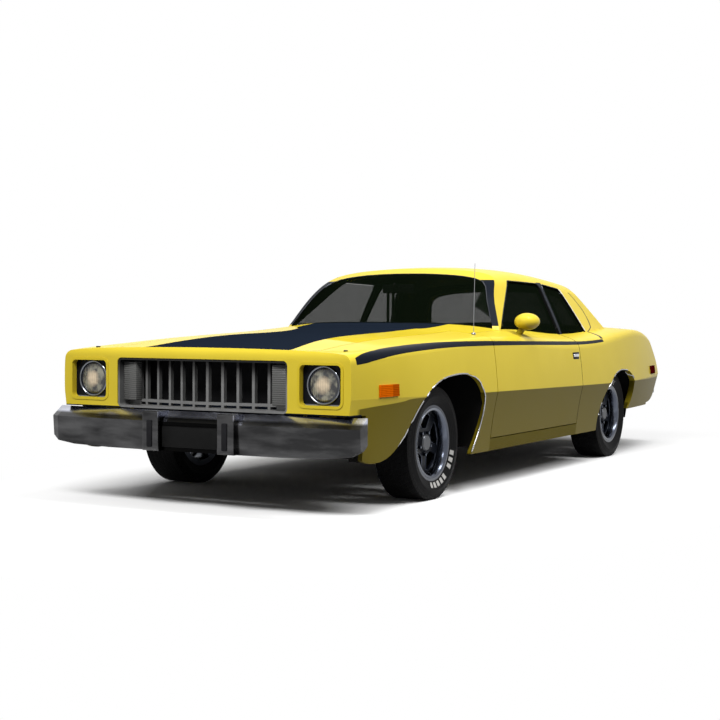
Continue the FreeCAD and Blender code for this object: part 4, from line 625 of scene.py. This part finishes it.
# The lamp's bowl shows painted reflections: a warm centre, a dark ring at its edge and pale
# blotches between.
LAMP_WARM_REFLECTION, LAMP_EDGE = (0.70, 0.56, 0.38), (0.012, 0.014, 0.020)
LAMP_DARK, LAMP_PALE_REFLECTION = (0.030, 0.030, 0.030), (0.26, 0.25, 0.19)
FLUTE_DARK = (0.05, 0.055, 0.065)
WARM_REFLECTION_RADIUS, EDGE_RADIUS = 0.052, 0.078
FLUTE_ACROSS, FLUTE_UP = 0.013, 0.031
headlamp = Finish("lamp_glass", Coat_Weight=0.3, Coat_Roughness=0.01)
flute = headlamp.x.wave(FLUTE_ACROSS) * 0.7 + headlamp.z.wave(FLUTE_UP) * 0.3
across = abs(headlamp.x) - LAMP_HALF
drop = headlamp.z - LAMP_HEIGHT
spread = (across * across + drop * drop).math("SQRT")
blotch = headlamp.noise(38, 2.0)
# Painted pale reflections in blotches, then the painted warm centre and the dark edge ring.
outer_reflections = headlamp.mix(headlamp.noise(24, 3.0).over(0.52, 0.2), LAMP_DARK, LAMP_PALE_REFLECTION)
bowl = headlamp.mix((spread + blotch * 0.03).over(WARM_REFLECTION_RADIUS, 0.03), LAMP_WARM_REFLECTION, outer_reflections)
bowl = headlamp.mix(spread.over(EDGE_RADIUS, 0.004), bowl, LAMP_EDGE)
headlamp.set(Base_Color=headlamp.mix(flute * 0.28, bowl, FLUTE_DARK),
             Roughness=flute * 0.1 + 0.06, Metallic=0.2)
headlamp.bump(flute, 0.0015)
dress(headlamp, "headlamps")
BEZEL_SHADE, BEZEL_LEDGE_HIGHLIGHT = (0.006, 0.007, 0.010), (0.16, 0.17, 0.19)
BEZEL_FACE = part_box("lamp_bezels")[0][1]
BEZEL_DROP = 0.097
bezel_finish = Finish("lamp_bezel", Specular_IOR_Level=0.06)
# Inside the bezel: painted shade, and a painted highlight on the lower ledge.
wall = bezel_finish.y.under(BEZEL_FACE + 0.036, 0.004)
ledge_highlight = (LAMP_HEIGHT - bezel_finish.z).over(BEZEL_DROP, 0.004)
ledge_highlight = ledge_highlight * bezel_finish.y.over(BEZEL_FACE + 0.028)
bezel_tone = bezel_finish.mix(ledge_highlight, BEZEL_SHADE, BEZEL_LEDGE_HIGHLIGHT)
bezel_finish.set(Base_Color=bezel_finish.mix(wall, bezel_tone, YELLOW_DEEP),
                 Roughness=bezel_finish.noise(35, 3.0) * 0.15 + 0.25)
dress(bezel_finish, "lamp_bezels")
RING_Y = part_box("headlamps")[0][1] + 0.012
RING_RADIUS, RING_THICKNESS = 0.094, 0.0055
# The rings' chrome is darkened to blue-grey: painted dark reflection.
RING_REFLECTION_GREY = (0.17, 0.18, 0.20)
rings = []
for sign in (-1, 1):
    bpy.ops.object.select_all(action="DESELECT")
    bpy.ops.mesh.primitive_torus_add(location=(sign * LAMP_HALF, RING_Y, LAMP_HEIGHT),
                                     rotation=(math.pi / 2, 0, 0), major_radius=RING_RADIUS,
                                     minor_radius=RING_THICKNESS, major_segments=48,
                                     minor_segments=10)
    rings.append(bpy.context.object)
ring_chrome = chrome_finish("ring_chrome", 0.10, 0.20, RING_REFLECTION_GREY)
fixed(joined(rings), "lamp_rings", ring_chrome)

# Side markers and tail lamps: moulded acrylic with rows of small prisms, screwed on from
# behind. The markers are amber at the front and dark red at the rear.
PRISM_PITCH = 0.009
RED_BRIGHT, RED_DEEP = (0.50, 0.012, 0.010), (0.22, 0.004, 0.004)
AMBER_BRIGHT, AMBER_DEEP = (0.72, 0.130, 0.001), (0.34, 0.055, 0.001)
RED_MARKER = (0.07, 0.002, 0.002)
AMBER_STEP = FRONT_AXLE - 0.612
AMBER_PITCH = 0.012


def lens_finish(name):
    """Ribbed acrylic, still without its colour, and the pattern of its prisms."""
    finish = Finish(name, Specular_IOR_Level=0.0)
    prism = finish.z.wave(PRISM_PITCH) * 0.6 + finish.y.wave(PRISM_PITCH) * 0.4
    finish.set(Roughness=prism * 0.1 + 0.1)
    finish.bump(prism, 0.0012)
    return finish, prism


red, red_prism = lens_finish("red_lens")
red.set(Base_Color=red.mix(red_prism, RED_DEEP, RED_BRIGHT))
dress(red, "tail_lamps")
amber, _ = lens_finish("amber_lens")
deep = amber.y.wave(AMBER_PITCH) * 0.4 + amber.y.over(AMBER_STEP, 0.004) * 0.6
amber_tone = amber.mix(deep, AMBER_BRIGHT, AMBER_DEEP)
amber.set(Base_Color=amber.mix(amber.y.over(0), amber_tone, RED_MARKER))
dress(amber, "side_markers")

# Wheels: steel rims with five dark spokes edged in bright metal, a polished trim ring, a
# grey cap and plain nuts. The tyres are black rubber with grooves and plain white bars.
REAR_AXLE = centre_of("tyre_rear_left", 1)
WHEEL_HEIGHT = centre_of("tyre_rear_left", 2)
# The polished flange is dark blue-grey: painted reflection of the dark ground and the sky.
RIM_GREY, CAP_GREY, POLISHED_REFLECTION = (0.004, 0.005, 0.008), (0.08, 0.083, 0.09), (0.045, 0.05, 0.062)
TYRE_BLACK, TYRE_WORN = (0.003, 0.003, 0.0035), (0.009, 0.009, 0.009)
TYRE_WHITE = (0.50, 0.49, 0.47)
CAP_RADIUS, FLANGE_RADIUS = 0.046, 0.1735
TREAD_RADIUS, CROWN_RADIUS = 0.31, 0.296
GROOVE_PITCH, BLOCK_PITCH, RING_PITCH = 0.031, 0.034, 0.012
BAR_INNER, BAR_OUTER = 0.219, 0.249
BAR_PITCH = math.radians(10)
# Directions in degrees between which the white bars stand on the tyres.
BAR_ARCS = {"front": [(-102.5, -52.5), (-42.5, -12.5)], "rear": [(72.5, 112.5)]}
# Outline of one opening between the spokes: across, and from the wheel's centre.
OPENING = [(0.024, 0.078), (0.072, 0.143), (0.043, 0.163), (-0.043, 0.163), (-0.072, 0.143),
           (-0.024, 0.078)]
FIRST_OPENING, OPENINGS = 90, 5
# Outline of the trim ring: radius, and place outward from the tyre's middle.
TRIM_RING = [(0.1765, 0.050), (0.1715, 0.050), (0.1740, 0.083), (0.1830, 0.0955),
             (0.1960, 0.0985), (0.1975, 0.0965), (0.1900, 0.0925), (0.1800, 0.084)]
SPOKE_FACE = 0.0405
SPOKE_EDGE = 0.0018
NUT_CIRCLE, NUT_RADIUS, NUT_HEIGHT, NUT_OUT = 0.066, 0.0095, 0.018, 0.008
# The trim ring, the spoke edges and the nuts share a dark blue-grey chrome: painted reflection.
WHEEL_REFLECTION_GREY = (0.085, 0.095, 0.12)


def from_axle(finish, axle):
    """How far a place is from an axle, and in which direction."""
    run, rise = finish.y - axle, finish.z - WHEEL_HEIGHT
    return (run * run + rise * rise).math("SQRT"), rise.math("ARCTAN2", run)


def rim_finish(name, axle):
    """Dark painted rim with a polished flange and a grey cap in its middle."""
    finish = Finish(name, Specular_IOR_Level=0.08)
    spread, _ = from_axle(finish, axle)
    bright = spread.over(FLANGE_RADIUS, 0.001)
    cap = spread.under(CAP_RADIUS, 0.002)
    haze = finish.noise(30, 3.0)
    colour = finish.mix(bright, RIM_GREY, POLISHED_REFLECTION)
    finish.set(Base_Color=finish.mix(cap, colour, CAP_GREY),
               Metallic=bright.most(cap * 0.7),
               Roughness=haze * 0.1 + 0.30 - bright * 0.20)
    finish.bump(haze, 0.0003, 0.4)
    return finish


def tyre_finish(name, axle, middle, arcs):
    """Rubber with its tread on the crown, fine rings on the wall and white bars in arcs."""
    finish = Finish(name, Specular_IOR_Level=0.06)
    spread, angle = from_axle(finish, axle)
    out = abs(finish.x) - middle
    crown = spread.over(CROWN_RADIUS, 0.004)
    grooves = out.wave(GROOVE_PITCH).over(0.12, 0.1)
    blocks = (angle * TREAD_RADIUS + out * 0.6).wave(BLOCK_PITCH).over(0.10, 0.1)
    height = crown * grooves * blocks + (1 - crown) * spread.wave(RING_PITCH) * 0.12
    group = 0
    for start, end in arcs:
        group = angle.between(math.radians(start), math.radians(end), 0.01) + group
    bars = angle.wave(BAR_PITCH).over(0.30, 0.15) * spread.between(BAR_INNER, BAR_OUTER, 0.002)
    bars = bars * group * out.over(0.06, 0.004)
    scuff = finish.noise(55, 4.0)
    black = finish.mix(scuff, TYRE_BLACK, TYRE_WORN)
    finish.set(Base_Color=finish.mix(bars, black, TYRE_WHITE),
               Roughness=scuff * 0.2 + 0.55)
    finish.bump(height + bars * 0.3, 0.006, 1.0)
    return finish


def lathe(profile, middle, axis, steps=48):
    """A ring: a closed outline of radius and place along an axis, turned about it."""
    middle, axis = Vector(middle), Vector(axis)
    outward = axis.orthogonal().normalized()
    made = wire([middle + outward * radius + axis * out for radius, out in profile], 0, True)
    edit(lambda: bpy.ops.mesh.spin(steps=steps, angle=2 * math.pi, center=middle, axis=axis),
         lambda: bpy.ops.mesh.remove_doubles(threshold=0.00001))
    return made


def wheel_trim(side, axle, middle):
    """Trim ring, bright spoke edges and nuts of one wheel."""
    outward = Vector((side, 0, 0))
    hub = Vector((side * (middle + SPOKE_FACE), axle, WHEEL_HEIGHT))
    made = [lathe(TRIM_RING, (side * middle, axle, WHEEL_HEIGHT), outward, 64)]
    for index in range(OPENINGS):
        turn = math.radians(FIRST_OPENING + 360 / OPENINGS * index)
        out = Vector((0, math.cos(turn), math.sin(turn)))
        across = Vector((0, -math.sin(turn), math.cos(turn)))
        made.append(wire([hub + across * a + out * b for a, b in OPENING], SPOKE_EDGE, True))
        nut = hub - out * NUT_CIRCLE + outward * NUT_OUT
        made.append(drum(nut, outward, NUT_RADIUS, NUT_HEIGHT, 0.002, 6))
    return joined(made)


wheel_chrome = chrome_finish("wheel_chrome", 0.12, 0.22, WHEEL_REFLECTION_GREY)
for place, axle in (("front", FRONT_AXLE), ("rear", REAR_AXLE)):
    middle = centre_of("tyre_" + place + "_left", 0)
    rims = rim_finish("rim_" + place, axle)
    tyres = tyre_finish("tyre_" + place, axle, middle, BAR_ARCS[place])
    for name, side in (("left", 1), ("right", -1)):
        body = "_".join((place, name))
        dress(rims, "rim_" + body)
        dress(tyres, "tyre_" + body)
        fixed(wheel_trim(side, axle, middle), "wheel_trim_" + body, wheel_chrome,
              "wheel_" + body)

# Bright mouldings: thin rolled strips of stainless steel round the wheel openings, on the side
# windows and round both screens, clipped to the body's edges. The strips on the side windows and
# round the windshield are a darker copy of the same steel, as painted dark reflection.
STEEL_STRIP, STEEL_STRIP_SHADED = (0.34, 0.34, 0.35), (0.06, 0.065, 0.075)
LIP_RADIUS, LIP_STEP, LIP_CENTRE = 0.0042, 0.002, 0.40
SIDE_STRIP, SCREEN_STRIP, REAR_STRIP = 0.0026, 0.0030, 0.0034
# The panels that carry each wheel lip, its axle, and the directions in degrees that it spans.
LIPS = {"front_wheel_lip": (("fender_left",), FRONT_AXLE, range(-22, 196, 4)),
        "rear_wheel_lip": (("quarter_panels", "door_left"), REAR_AXLE, range(30, 192, 4))}
SIDE_SKIN = ("fender_left", "door_left", "quarter_panels", "roof")
# Inside each side window: place behind the front axle, and height.
SIDE_WINDOWS = {"door_window_strip": (1.70, 1.09), "quarter_window_strip": (2.30, 1.06)}
# Places on a wheel lip lie further out than the first of these half widths, and places round
# a side window further out than the second.
LIP_INNER, SIDE_INNER = 0.9, 0.45
SCREEN_HEIGHT, SCREEN_END = 1.13, FRONT_AXLE + 1.9
REAR_HEIGHT, REAR_START = 1.08, FRONT_AXLE + 2.75
REACH_STEP, REACH_LIMIT, HALVINGS = 0.01, 1.4, 7


def hit(names, start, direction):
    """The nearest place where a ray meets one of the CAD nodes."""
    nearest = None
    for name in names:
        found, place, _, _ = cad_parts[name].ray_cast(Vector(start), Vector(direction))
        if found and (nearest is None or (place - Vector(start)).length
                      < (nearest - Vector(start)).length):
            nearest = place
    return nearest


def opening_edge(names, view, place_at, accept, angles, near):
    """Places on the edge of an opening, found by looking into it along one direction.

    place_at gives the start of a ray from an angle and a distance; accept says whether
    a place belongs to the edge's side; near is a distance that still lies in the opening.
    """
    def meets(angle, reach):
        place = hit(names, place_at(math.radians(angle), reach), view)
        return place if place is not None and accept(place) else None

    places = []
    for angle in angles:
        reach = near
        while meets(angle, reach) is None and reach < REACH_LIMIT:
            reach += REACH_STEP
        low, high = reach - REACH_STEP, reach
        for _ in range(HALVINGS):
            middle = (low + high) / 2
            if meets(angle, middle) is None:
                low = middle
            else:
                high = middle
        found = meets(angle, high)
        if found is not None:
            places.append(found)
    return places


def from_left(centre_y, centre_z):
    """Starts of rays on the car's left, round a centre."""
    return lambda angle, reach: (2, centre_y + reach * math.cos(angle),
                                 centre_z + reach * math.sin(angle))


def from_front(centre_z, start_y=-3):
    """Starts of rays before or behind the car, round a centre in its middle."""
    return lambda angle, reach: (reach * math.cos(angle), start_y,
                                 centre_z + reach * math.sin(angle))


def on_both_sides(piece, name, finish):
    """Fixes a strip of the left side and the same strip on the right."""
    fixed(other_side(piece), name + "_right", finish)
    fixed(piece, name + "_left", finish)


bright_strip = chrome_finish("bright_strip", 0.16, 0.26, STEEL_STRIP)
shaded_steel_strip = chrome_finish("shaded_steel_strip", 0.16, 0.26, STEEL_STRIP_SHADED)
for name, (skins, axle, angles) in LIPS.items():
    edge = opening_edge(skins, (-1, 0, 0), from_left(axle, LIP_CENTRE),
                        lambda place: place.x > LIP_INNER, angles, 0.1)
    lip = wire([place + Vector((LIP_STEP, 0, 0)) for place in edge], LIP_RADIUS)
    on_both_sides(lip, name, bright_strip)
for name, (place, height) in SIDE_WINDOWS.items():
    edge = opening_edge(SIDE_SKIN, (-1, 0, 0), from_left(FRONT_AXLE + place, height),
                        lambda place: place.x > SIDE_INNER, range(0, 360, 6), 0.06)
    on_both_sides(wire(edge, SIDE_STRIP, True), name, shaded_steel_strip)
screen_edge = opening_edge(("roof", "cowl", "fender_left", "fender_right"), (0, 1, 0),
                           from_front(SCREEN_HEIGHT), lambda place: place.y < SCREEN_END,
                           range(0, 360, 4), 0.08)
fixed(wire(screen_edge, SCREEN_STRIP, True), "windshield_strip", shaded_steel_strip)
rear_edge = opening_edge(("roof", "quarter_panels"), (0, -1, 0), from_front(REAR_HEIGHT, 4),
                         lambda place: place.y > REAR_START, range(0, 360, 4), 0.05)
fixed(wire(rear_edge, REAR_STRIP, True), "rear_window_strip", bright_strip)

# Door mirror: a die-cast shell in the colour of the body, screwed to the left door, with
# flat oval glass in its rear face. Its lower half is in the shade.
MIRROR_SHADE = 0.968
MIRROR_MIDDLE = (0.925, FRONT_AXLE + 1.3225, 0.992)
MIRROR_OVAL = (0.72, 1, 0.50)
MIRROR_RADIUS, MIRROR_DEPTH, MIRROR_EDGE = 0.05, 0.016, 0.003
mirror_paint = Finish("mirror_paint", Coat_Weight=0.15, Specular_IOR_Level=0.05)
mirror_tone = mirror_paint.noise(9, 2.0)
mirror_colour = mirror_paint.mix(mirror_tone, YELLOW, YELLOW_DEEP)
mirror_shade = mirror_paint.z.under(MIRROR_SHADE, 0.035) * 0.75
mirror_paint.set(Base_Color=mirror_paint.mix(mirror_shade, mirror_colour, YELLOW_PAINTED_SHADE),
                 Roughness=mirror_tone * 0.1 + 0.25)
dress(mirror_paint, "mirror_left")
mirror_glass = chrome_finish("mirror_glass", 0.01, 0.03)
disc = drum(MIRROR_MIDDLE, (0, 1, 0), MIRROR_RADIUS, MIRROR_DEPTH, MIRROR_EDGE, 48)
scaled(disc, MIRROR_MIDDLE, MIRROR_OVAL)
fixed(disc, "mirror_glass", mirror_glass, "door_left")

# Door handles: plated grips of cast zinc, each in a dark pressed pan that is screwed into
# the skin of its door.
PAN_BLACK = (0.006, 0.006, 0.007)
HANDLE_Y, HANDLE_Z = FRONT_AXLE + 2.000, 0.757
PAN_LONG, PAN_HIGH = 0.056, 0.029
GRIP_LONG, GRIP_LOW, GRIP_HIGH = 0.046, -0.002, 0.018
# How far the pan and the grip reach into the door's skin and out of it.
PAN_IN, PAN_OUT, PAN_EDGE = 0.005, 0.0025, 0.0035
GRIP_IN, GRIP_OUT, GRIP_EDGE = 0.002, 0.006, 0.003
dark_pan = rubber_finish("dark_pan", PAN_BLACK, 0.35)
handle_x = hit(("door_left",), (2, HANDLE_Y, HANDLE_Z), (-1, 0, 0)).x
for side, name in ((1, "left"), (-1, "right")):
    low_x, high_x = sorted((side * (handle_x - PAN_IN), side * (handle_x + PAN_OUT)))
    pan = slab((low_x, HANDLE_Y - PAN_LONG, HANDLE_Z - PAN_HIGH),
               (high_x, HANDLE_Y + PAN_LONG, HANDLE_Z + PAN_HIGH), PAN_EDGE)
    fixed(pan, "handle_pan_" + name, dark_pan, "door_" + name)
    low_x, high_x = sorted((side * (handle_x - GRIP_IN), side * (handle_x + GRIP_OUT)))
    grip = slab((low_x, HANDLE_Y - GRIP_LONG, HANDLE_Z + GRIP_LOW),
                (high_x, HANDLE_Y + GRIP_LONG, HANDLE_Z + GRIP_HIGH), GRIP_EDGE)
    fixed(grip, "handle_grip_" + name, chrome, "door_" + name)

# Turn markers and mast: two small dark markers are clipped into the top of the front end,
# near its corners, and a thin steel mast for the radio stands in a round foot on the left
# fender.
MARKER_X, MARKER_Y = 0.803, FRONT_AXLE - 0.831
MARKER_OVAL = (0.8, 1.4, 1)
MARKER_RADIUS, MARKER_DEPTH = 0.012, 0.010
MAST_X, MAST_Y, MAST_BEND, MAST_TOP = 0.850, FRONT_AXLE + 0.600, 1.0, 1.335
MAST_RADIUS, MAST_LEAN = 0.0016, 0.012
FOOT_RADIUS, FOOT_HEIGHT = 0.013, 0.016
markers = []
for side in (-1, 1):
    top = hit(("nose_panel", "fender_left", "fender_right"), (side * MARKER_X, MARKER_Y, 2),
              (0, 0, -1))
    dot = drum(top + Vector((0, 0, 0.001)), (0, 0.1, 1), MARKER_RADIUS, MARKER_DEPTH, 0.003)
    scaled(dot, top, MARKER_OVAL)
    markers.append(dot)
fixed(joined(markers), "turn_markers", dark_pan)
foot = hit(("fender_left",), (MAST_X, MAST_Y, 2), (0, 0, -1))
mast = wire([foot, Vector((foot.x, foot.y, MAST_BEND)),
             Vector((foot.x, foot.y + MAST_LEAN, MAST_TOP))], MAST_RADIUS)
base = drum(foot + Vector((0, 0, 0.006)), (0, 0, 1), FOOT_RADIUS, FOOT_HEIGHT, 0.004)
fixed(joined([mast, base]), "antenna", bright_strip)

# Seats: two bucket seats and a rear bench, foam under black vinyl with sewn pleats. Foam
# swells between the seams, so each is a cushion that pressure rounds off.
VINYL_BLACK, VINYL_WORN = (0.010, 0.010, 0.010), (0.024, 0.023, 0.022)
PLEAT_PITCH = 0.052
SWELL_LIMIT = 0.018
SWELL_FRAMES = 13
vinyl = Finish("seat_vinyl")
pleats = vinyl.x.wave(PLEAT_PITCH).curve([(0, 0), (0.25, 0.75), (1, 1)])
leather = vinyl.noise(240, 3.0)
worn = vinyl.noise(6, 3.0)
vinyl.set(Base_Color=vinyl.mix(worn, VINYL_BLACK, VINYL_WORN),
          Roughness=leather * 0.15 + 0.38)
vinyl.bump(pleats + leather * 0.03, 0.006, 0.8)
plain_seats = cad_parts["seats"]
bpy.ops.object.select_all(action="DESELECT")
seats = plain_seats.copy()
seats.data = seats.data.copy()
bpy.context.scene.collection.objects.link(seats)
only(seats)
edit(lambda: bpy.ops.mesh.remove_doubles(threshold=0.0002),
     lambda: bpy.ops.mesh.normals_make_consistent(inside=False))
remesh = seats.modifiers.new("remesh", "REMESH")
remesh.mode = "VOXEL"
remesh.voxel_size = 0.016
bpy.ops.object.modifier_apply(modifier=remesh.name)
cloth = seats.modifiers.new("cloth", "CLOTH")
cloth.settings.use_pressure = True
cloth.settings.uniform_pressure_force = 4
cloth.settings.effector_weights.gravity = 0
cloth.settings.mass = 0.4
for number in range(SWELL_FRAMES):
    bpy.context.scene.frame_set(number + 1)
bpy.ops.object.modifier_apply(modifier=cloth.name)
bpy.context.scene.frame_set(1)
for corner in seats.data.vertices:
    found, place, _, _ = plain_seats.closest_point_on_mesh(corner.co)
    away = corner.co - place
    if found and away.length > SWELL_LIMIT:
        corner.co = place + away.normalized() * SWELL_LIMIT
fixed(seats, "seats_padded", vinyl, angle=80)
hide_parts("seats")

# Dashboard and steering wheel: black padded vinyl over steel. Three dials in bright rings
# and two bright lids, of the glove box and of the panel in the middle, are set into it.
CABIN_BLACK = (0.010, 0.010, 0.010)
DASH_VIEW = FRONT_AXLE + 1.6
DIALS, DIAL_HEIGHT = (0.25, 0.37, 0.49), 0.80
DIAL_RING = [(0.046, -0.002), (0.052, -0.002), (0.052, 0.004), (0.046, 0.006)]
# Opposite corners of the lids: across and up.
DASH_LIDS = [((-0.60, 0.745), (-0.25, 0.835)), ((-0.12, 0.76), (0.10, 0.83))]
cabin_vinyl = rubber_finish("cabin_vinyl", CABIN_BLACK, 0.42)
dress(cabin_vinyl, "dashboard", "steering_wheel")
fittings = []
for x in DIALS:
    place = hit(("dashboard",), (x, DASH_VIEW, DIAL_HEIGHT), (0, -1, 0))
    fittings.append(lathe(DIAL_RING, place, (0, 1, 0), 32))
for (low_x, low_z), (high_x, high_z) in DASH_LIDS:
    place = hit(("dashboard",), ((low_x + high_x) / 2, DASH_VIEW, low_z + 0.04), (0, -1, 0))
    fittings.append(slab((low_x, place.y - 0.006, low_z), (high_x, place.y + 0.004, high_z),
                         0.003))
fixed(joined(fittings), "dash_fittings", bright_strip)

# Inside mirror and shoulder belts: a flat mirror in a dark shell on a stem from the top of
# the windshield, and two woven straps on each side, from the roof rail to the side panel.
HEADER_HEIGHT = 1.235
MIRROR_WIDE, MIRROR_LOW, MIRROR_HIGH = 0.115, 1.175, 1.232
BELTS, BELT_RADIUS = (2.30, 2.38), 0.011
BELT_TOP, BELT_LOW = (0.60, -0.08, 1.245), (0.70, 0.10, 0.90)
WEAVE_UP, WEAVE_ALONG = 0.004, 0.006
BELT_GREY, BELT_PALE = (0.05, 0.05, 0.052), (0.11, 0.11, 0.115)
header = hit(("windshield",), (0, -3, HEADER_HEIGHT), (0, 1, 0))
inside_mirror = slab((-MIRROR_WIDE, header.y + 0.055, MIRROR_LOW),
                     (MIRROR_WIDE, header.y + 0.068, MIRROR_HIGH), 0.006)
stem = wire([header + Vector((0, 0.004, 0)), Vector((0, header.y + 0.058, 1.215))], 0.006)
fixed(joined([inside_mirror, stem]), "interior_mirror", dark_pan)
belts = []
for side in (-1, 1):
    for start in BELTS:
        upper, lower = [Vector((side * x, FRONT_AXLE + start + y, z))
                        for x, y, z in (BELT_TOP, BELT_LOW)]
        belts.append(wire([upper, upper.lerp(lower, 0.5), lower], BELT_RADIUS, fineness=1))
webbing = Finish("webbing")
weave = webbing.z.wave(WEAVE_UP) * 0.5 + webbing.y.wave(WEAVE_ALONG) * 0.5
webbing.set(Base_Color=webbing.mix(weave, BELT_GREY, BELT_PALE),
            Roughness=weave * 0.1 + 0.6)
webbing.bump(weave, 0.0006)
fixed(joined(belts), "shoulder_belts", webbing)

# Engine: painted cast iron under oil and dust. On top sit two pressed rocker covers and a
# round air cleaner of black sheet steel, and a battery stands in the corner of the bay.
IRON_BLACK, IRON_OILY = (0.020, 0.020, 0.021), (0.055, 0.048, 0.040)
SHEET_BLACK = (0.012, 0.012, 0.013)
ENGINE_TOP = 0.780
COVER_HALF, COVER_WIDTH = 0.18, 0.055
COVER_FRONT, COVER_REAR = FRONT_AXLE - 0.30, FRONT_AXLE + 0.26
BATTERY_LOW = (-0.60, FRONT_AXLE - 0.66, 0.60)
BATTERY_HIGH = (-0.43, FRONT_AXLE - 0.40, 0.80)
# Outline of the air cleaner: radius, and height above the engine.
CLEANER = [(0.0, 0.0), (0.150, 0.0), (0.178, 0.008), (0.180, 0.046), (0.165, 0.060),
           (0.03, 0.066), (0.0, 0.066)]
iron = Finish("engine_iron")
oil = iron.noise(9, 5.0)
iron.set(Base_Color=iron.mix(oil, IRON_BLACK, IRON_OILY), Roughness=oil * 0.3 + 0.45)
iron.bump(iron.noise(60, 4.0), 0.001, 0.7)
dress(iron, "engine")
black_steel = rubber_finish("black_steel", SHEET_BLACK, 0.3)
cleaner = lathe(CLEANER, (0, FRONT_AXLE - 0.02, ENGINE_TOP), (0, 0, 1), 48)
covers = [slab((x - COVER_WIDTH, COVER_FRONT, ENGINE_TOP - 0.01),
               (x + COVER_WIDTH, COVER_REAR, ENGINE_TOP + 0.030), 0.010)
          for x in (-COVER_HALF, COVER_HALF)]
battery = slab(BATTERY_LOW, BATTERY_HIGH, 0.006)
fixed(joined([cleaner, battery] + covers), "engine_fittings", black_steel)

# Rear end: a blank plate of enamelled sheet between the bumper's bolts, and thin bright
# frames that are clipped round the tail lamps.
PLATE_WHITE, PLATE_WORN = (0.60, 0.60, 0.57), (0.52, 0.52, 0.50)
REAR_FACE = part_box("rear_bumper")[1][1]
PLATE_HALF, PLATE_LOW, PLATE_TOP, PLATE_EDGE = 0.152, 0.425, 0.530, 0.0015
FRAME_CORNERS = [(0.30, 0.583), (0.76, 0.583), (0.76, 0.687), (0.30, 0.687)]
plate_blank = Finish("plate_blank")
paper = plate_blank.noise(50, 3.0)
plate_blank.set(Base_Color=plate_blank.mix(paper, PLATE_WHITE, PLATE_WORN),
                Roughness=paper * 0.1 + 0.35)
rear_plate = slab((-PLATE_HALF, REAR_FACE - 0.012, PLATE_LOW),
                  (PLATE_HALF, REAR_FACE - 0.0045, PLATE_TOP), PLATE_EDGE)
fixed(rear_plate, "rear_plate_panel", plate_blank)
frames = [wire([hit(("tail_lamps",), (side * x, 4, z), (0, -1, 0)) for x, z in FRAME_CORNERS],
               0.004, True) for side in (-1, 1)]
fixed(joined(frames), "tail_lamp_frames", bright_strip)

# Floor, sky, lamps and camera. The floor is pale and keeps the car's soft shadow; far from
# the car the camera sees it as plain white, as it does the sky, whose own light is weak.
FLOOR_GREY, FLOOR_WHITE = (0.10, 0.10, 0.105), (0.92, 0.92, 0.92)
SHADOW_X, SHADOW_Y = 0.3, -0.2
SHADOW_WIDE, SHADOW_LONG = 1.9, 3.5


def seen_by_camera(tree):
    """1 for what the camera sees, also through glass and in metal."""
    rays = tree.nodes.new("ShaderNodeLightPath")
    seen = Value(tree, rays.outputs["Is Camera Ray"])
    seen = seen.most(Value(tree, rays.outputs["Is Glossy Ray"]))
    return seen.most(Value(tree, rays.outputs["Is Transmission Ray"]))


bpy.ops.object.select_all(action="DESELECT")
bpy.ops.mesh.primitive_plane_add(size=80, location=(0, 0, 0))
floor = bpy.context.object
floor.name = "floor"
ground = Finish("floor", Specular_IOR_Level=0.0)
seen = seen_by_camera(ground.tree)
ground.set(Base_Color=ground.mix(seen, FLOOR_GREY, FLOOR_WHITE),
           Roughness=ground.noise(3, 2.0) * 0.02 + 0.95)
far_x = (ground.x - SHADOW_X) / SHADOW_WIDE
far_y = (ground.y - SHADOW_Y) / SHADOW_LONG
far = (far_x * far_x + far_y * far_y).math("SQRT")
fade = far.over(1.0, 0.5) * seen
glow = ground.tree.nodes.new("ShaderNodeEmission")
blend = ground.tree.nodes.new("ShaderNodeMixShader")
ground.tree.links.new(fade.socket, blend.inputs[0])
ground.tree.links.new(ground.shader.outputs[0], blend.inputs[1])
ground.tree.links.new(glow.outputs[0], blend.inputs[2])
surface = ground.tree.nodes["Material Output"]
ground.tree.links.new(blend.outputs[0], surface.inputs["Surface"])
floor.data.materials.append(ground.material)

SKY_WHITE = (1.0, 1.0, 1.0)
SKY_LIGHT, SKY_SEEN = 0.20, 1.0
world = bpy.data.worlds.new("world")
world.use_nodes = True
bpy.context.scene.world = world
sky = world.node_tree
background = sky.nodes["Background"]
put(sky, SKY_WHITE, background.inputs["Color"])
put(sky, seen_by_camera(sky) * (SKY_SEEN - SKY_LIGHT) + SKY_LIGHT, background.inputs["Strength"])


def area_light(name, place, aim, size, power):
    """A soft lamp at a place that shines towards another."""
    data = bpy.data.lights.new(name, "AREA")
    data.shape = "RECTANGLE"
    data.size, data.size_y = size
    data.energy = power
    made = bpy.data.objects.new(name, data)
    bpy.context.scene.collection.objects.link(made)
    made.location = place
    made.rotation_euler = (Vector(aim) - Vector(place)).to_track_quat("-Z", "Y").to_euler()


area_light("overhead", (0.5, 0.0, 7.0), (0, 0, 0.5), (4, 7), 130)
area_light("side", (4.6, -0.5, 7.2), (0.5, 0, 0.7), (2, 7), 680)
area_light("front", (0.8, -7.2, 6.0), (0, -2, 0.7), (5, 2), 650)
# The camera stands where the photograph's stood, worked out from the wheelbase.
CAMERA_PLACE = (4.29956, -8.49333, 0.99246)
CAMERA_TURN = (88.28714, -0.27500, 29.49475)
camera = bpy.data.cameras.new("camera")
camera.sensor_width = 36
camera.lens = 69.1167
camera.shift_y = 0.0028
camera_object = bpy.data.objects.new("camera", camera)
bpy.context.scene.collection.objects.link(camera_object)
camera_object.location = CAMERA_PLACE
camera_object.rotation_euler = [math.radians(turn) for turn in CAMERA_TURN]
bpy.context.scene.camera = camera_object
bpy.context.scene.view_settings.view_transform = "Standard"
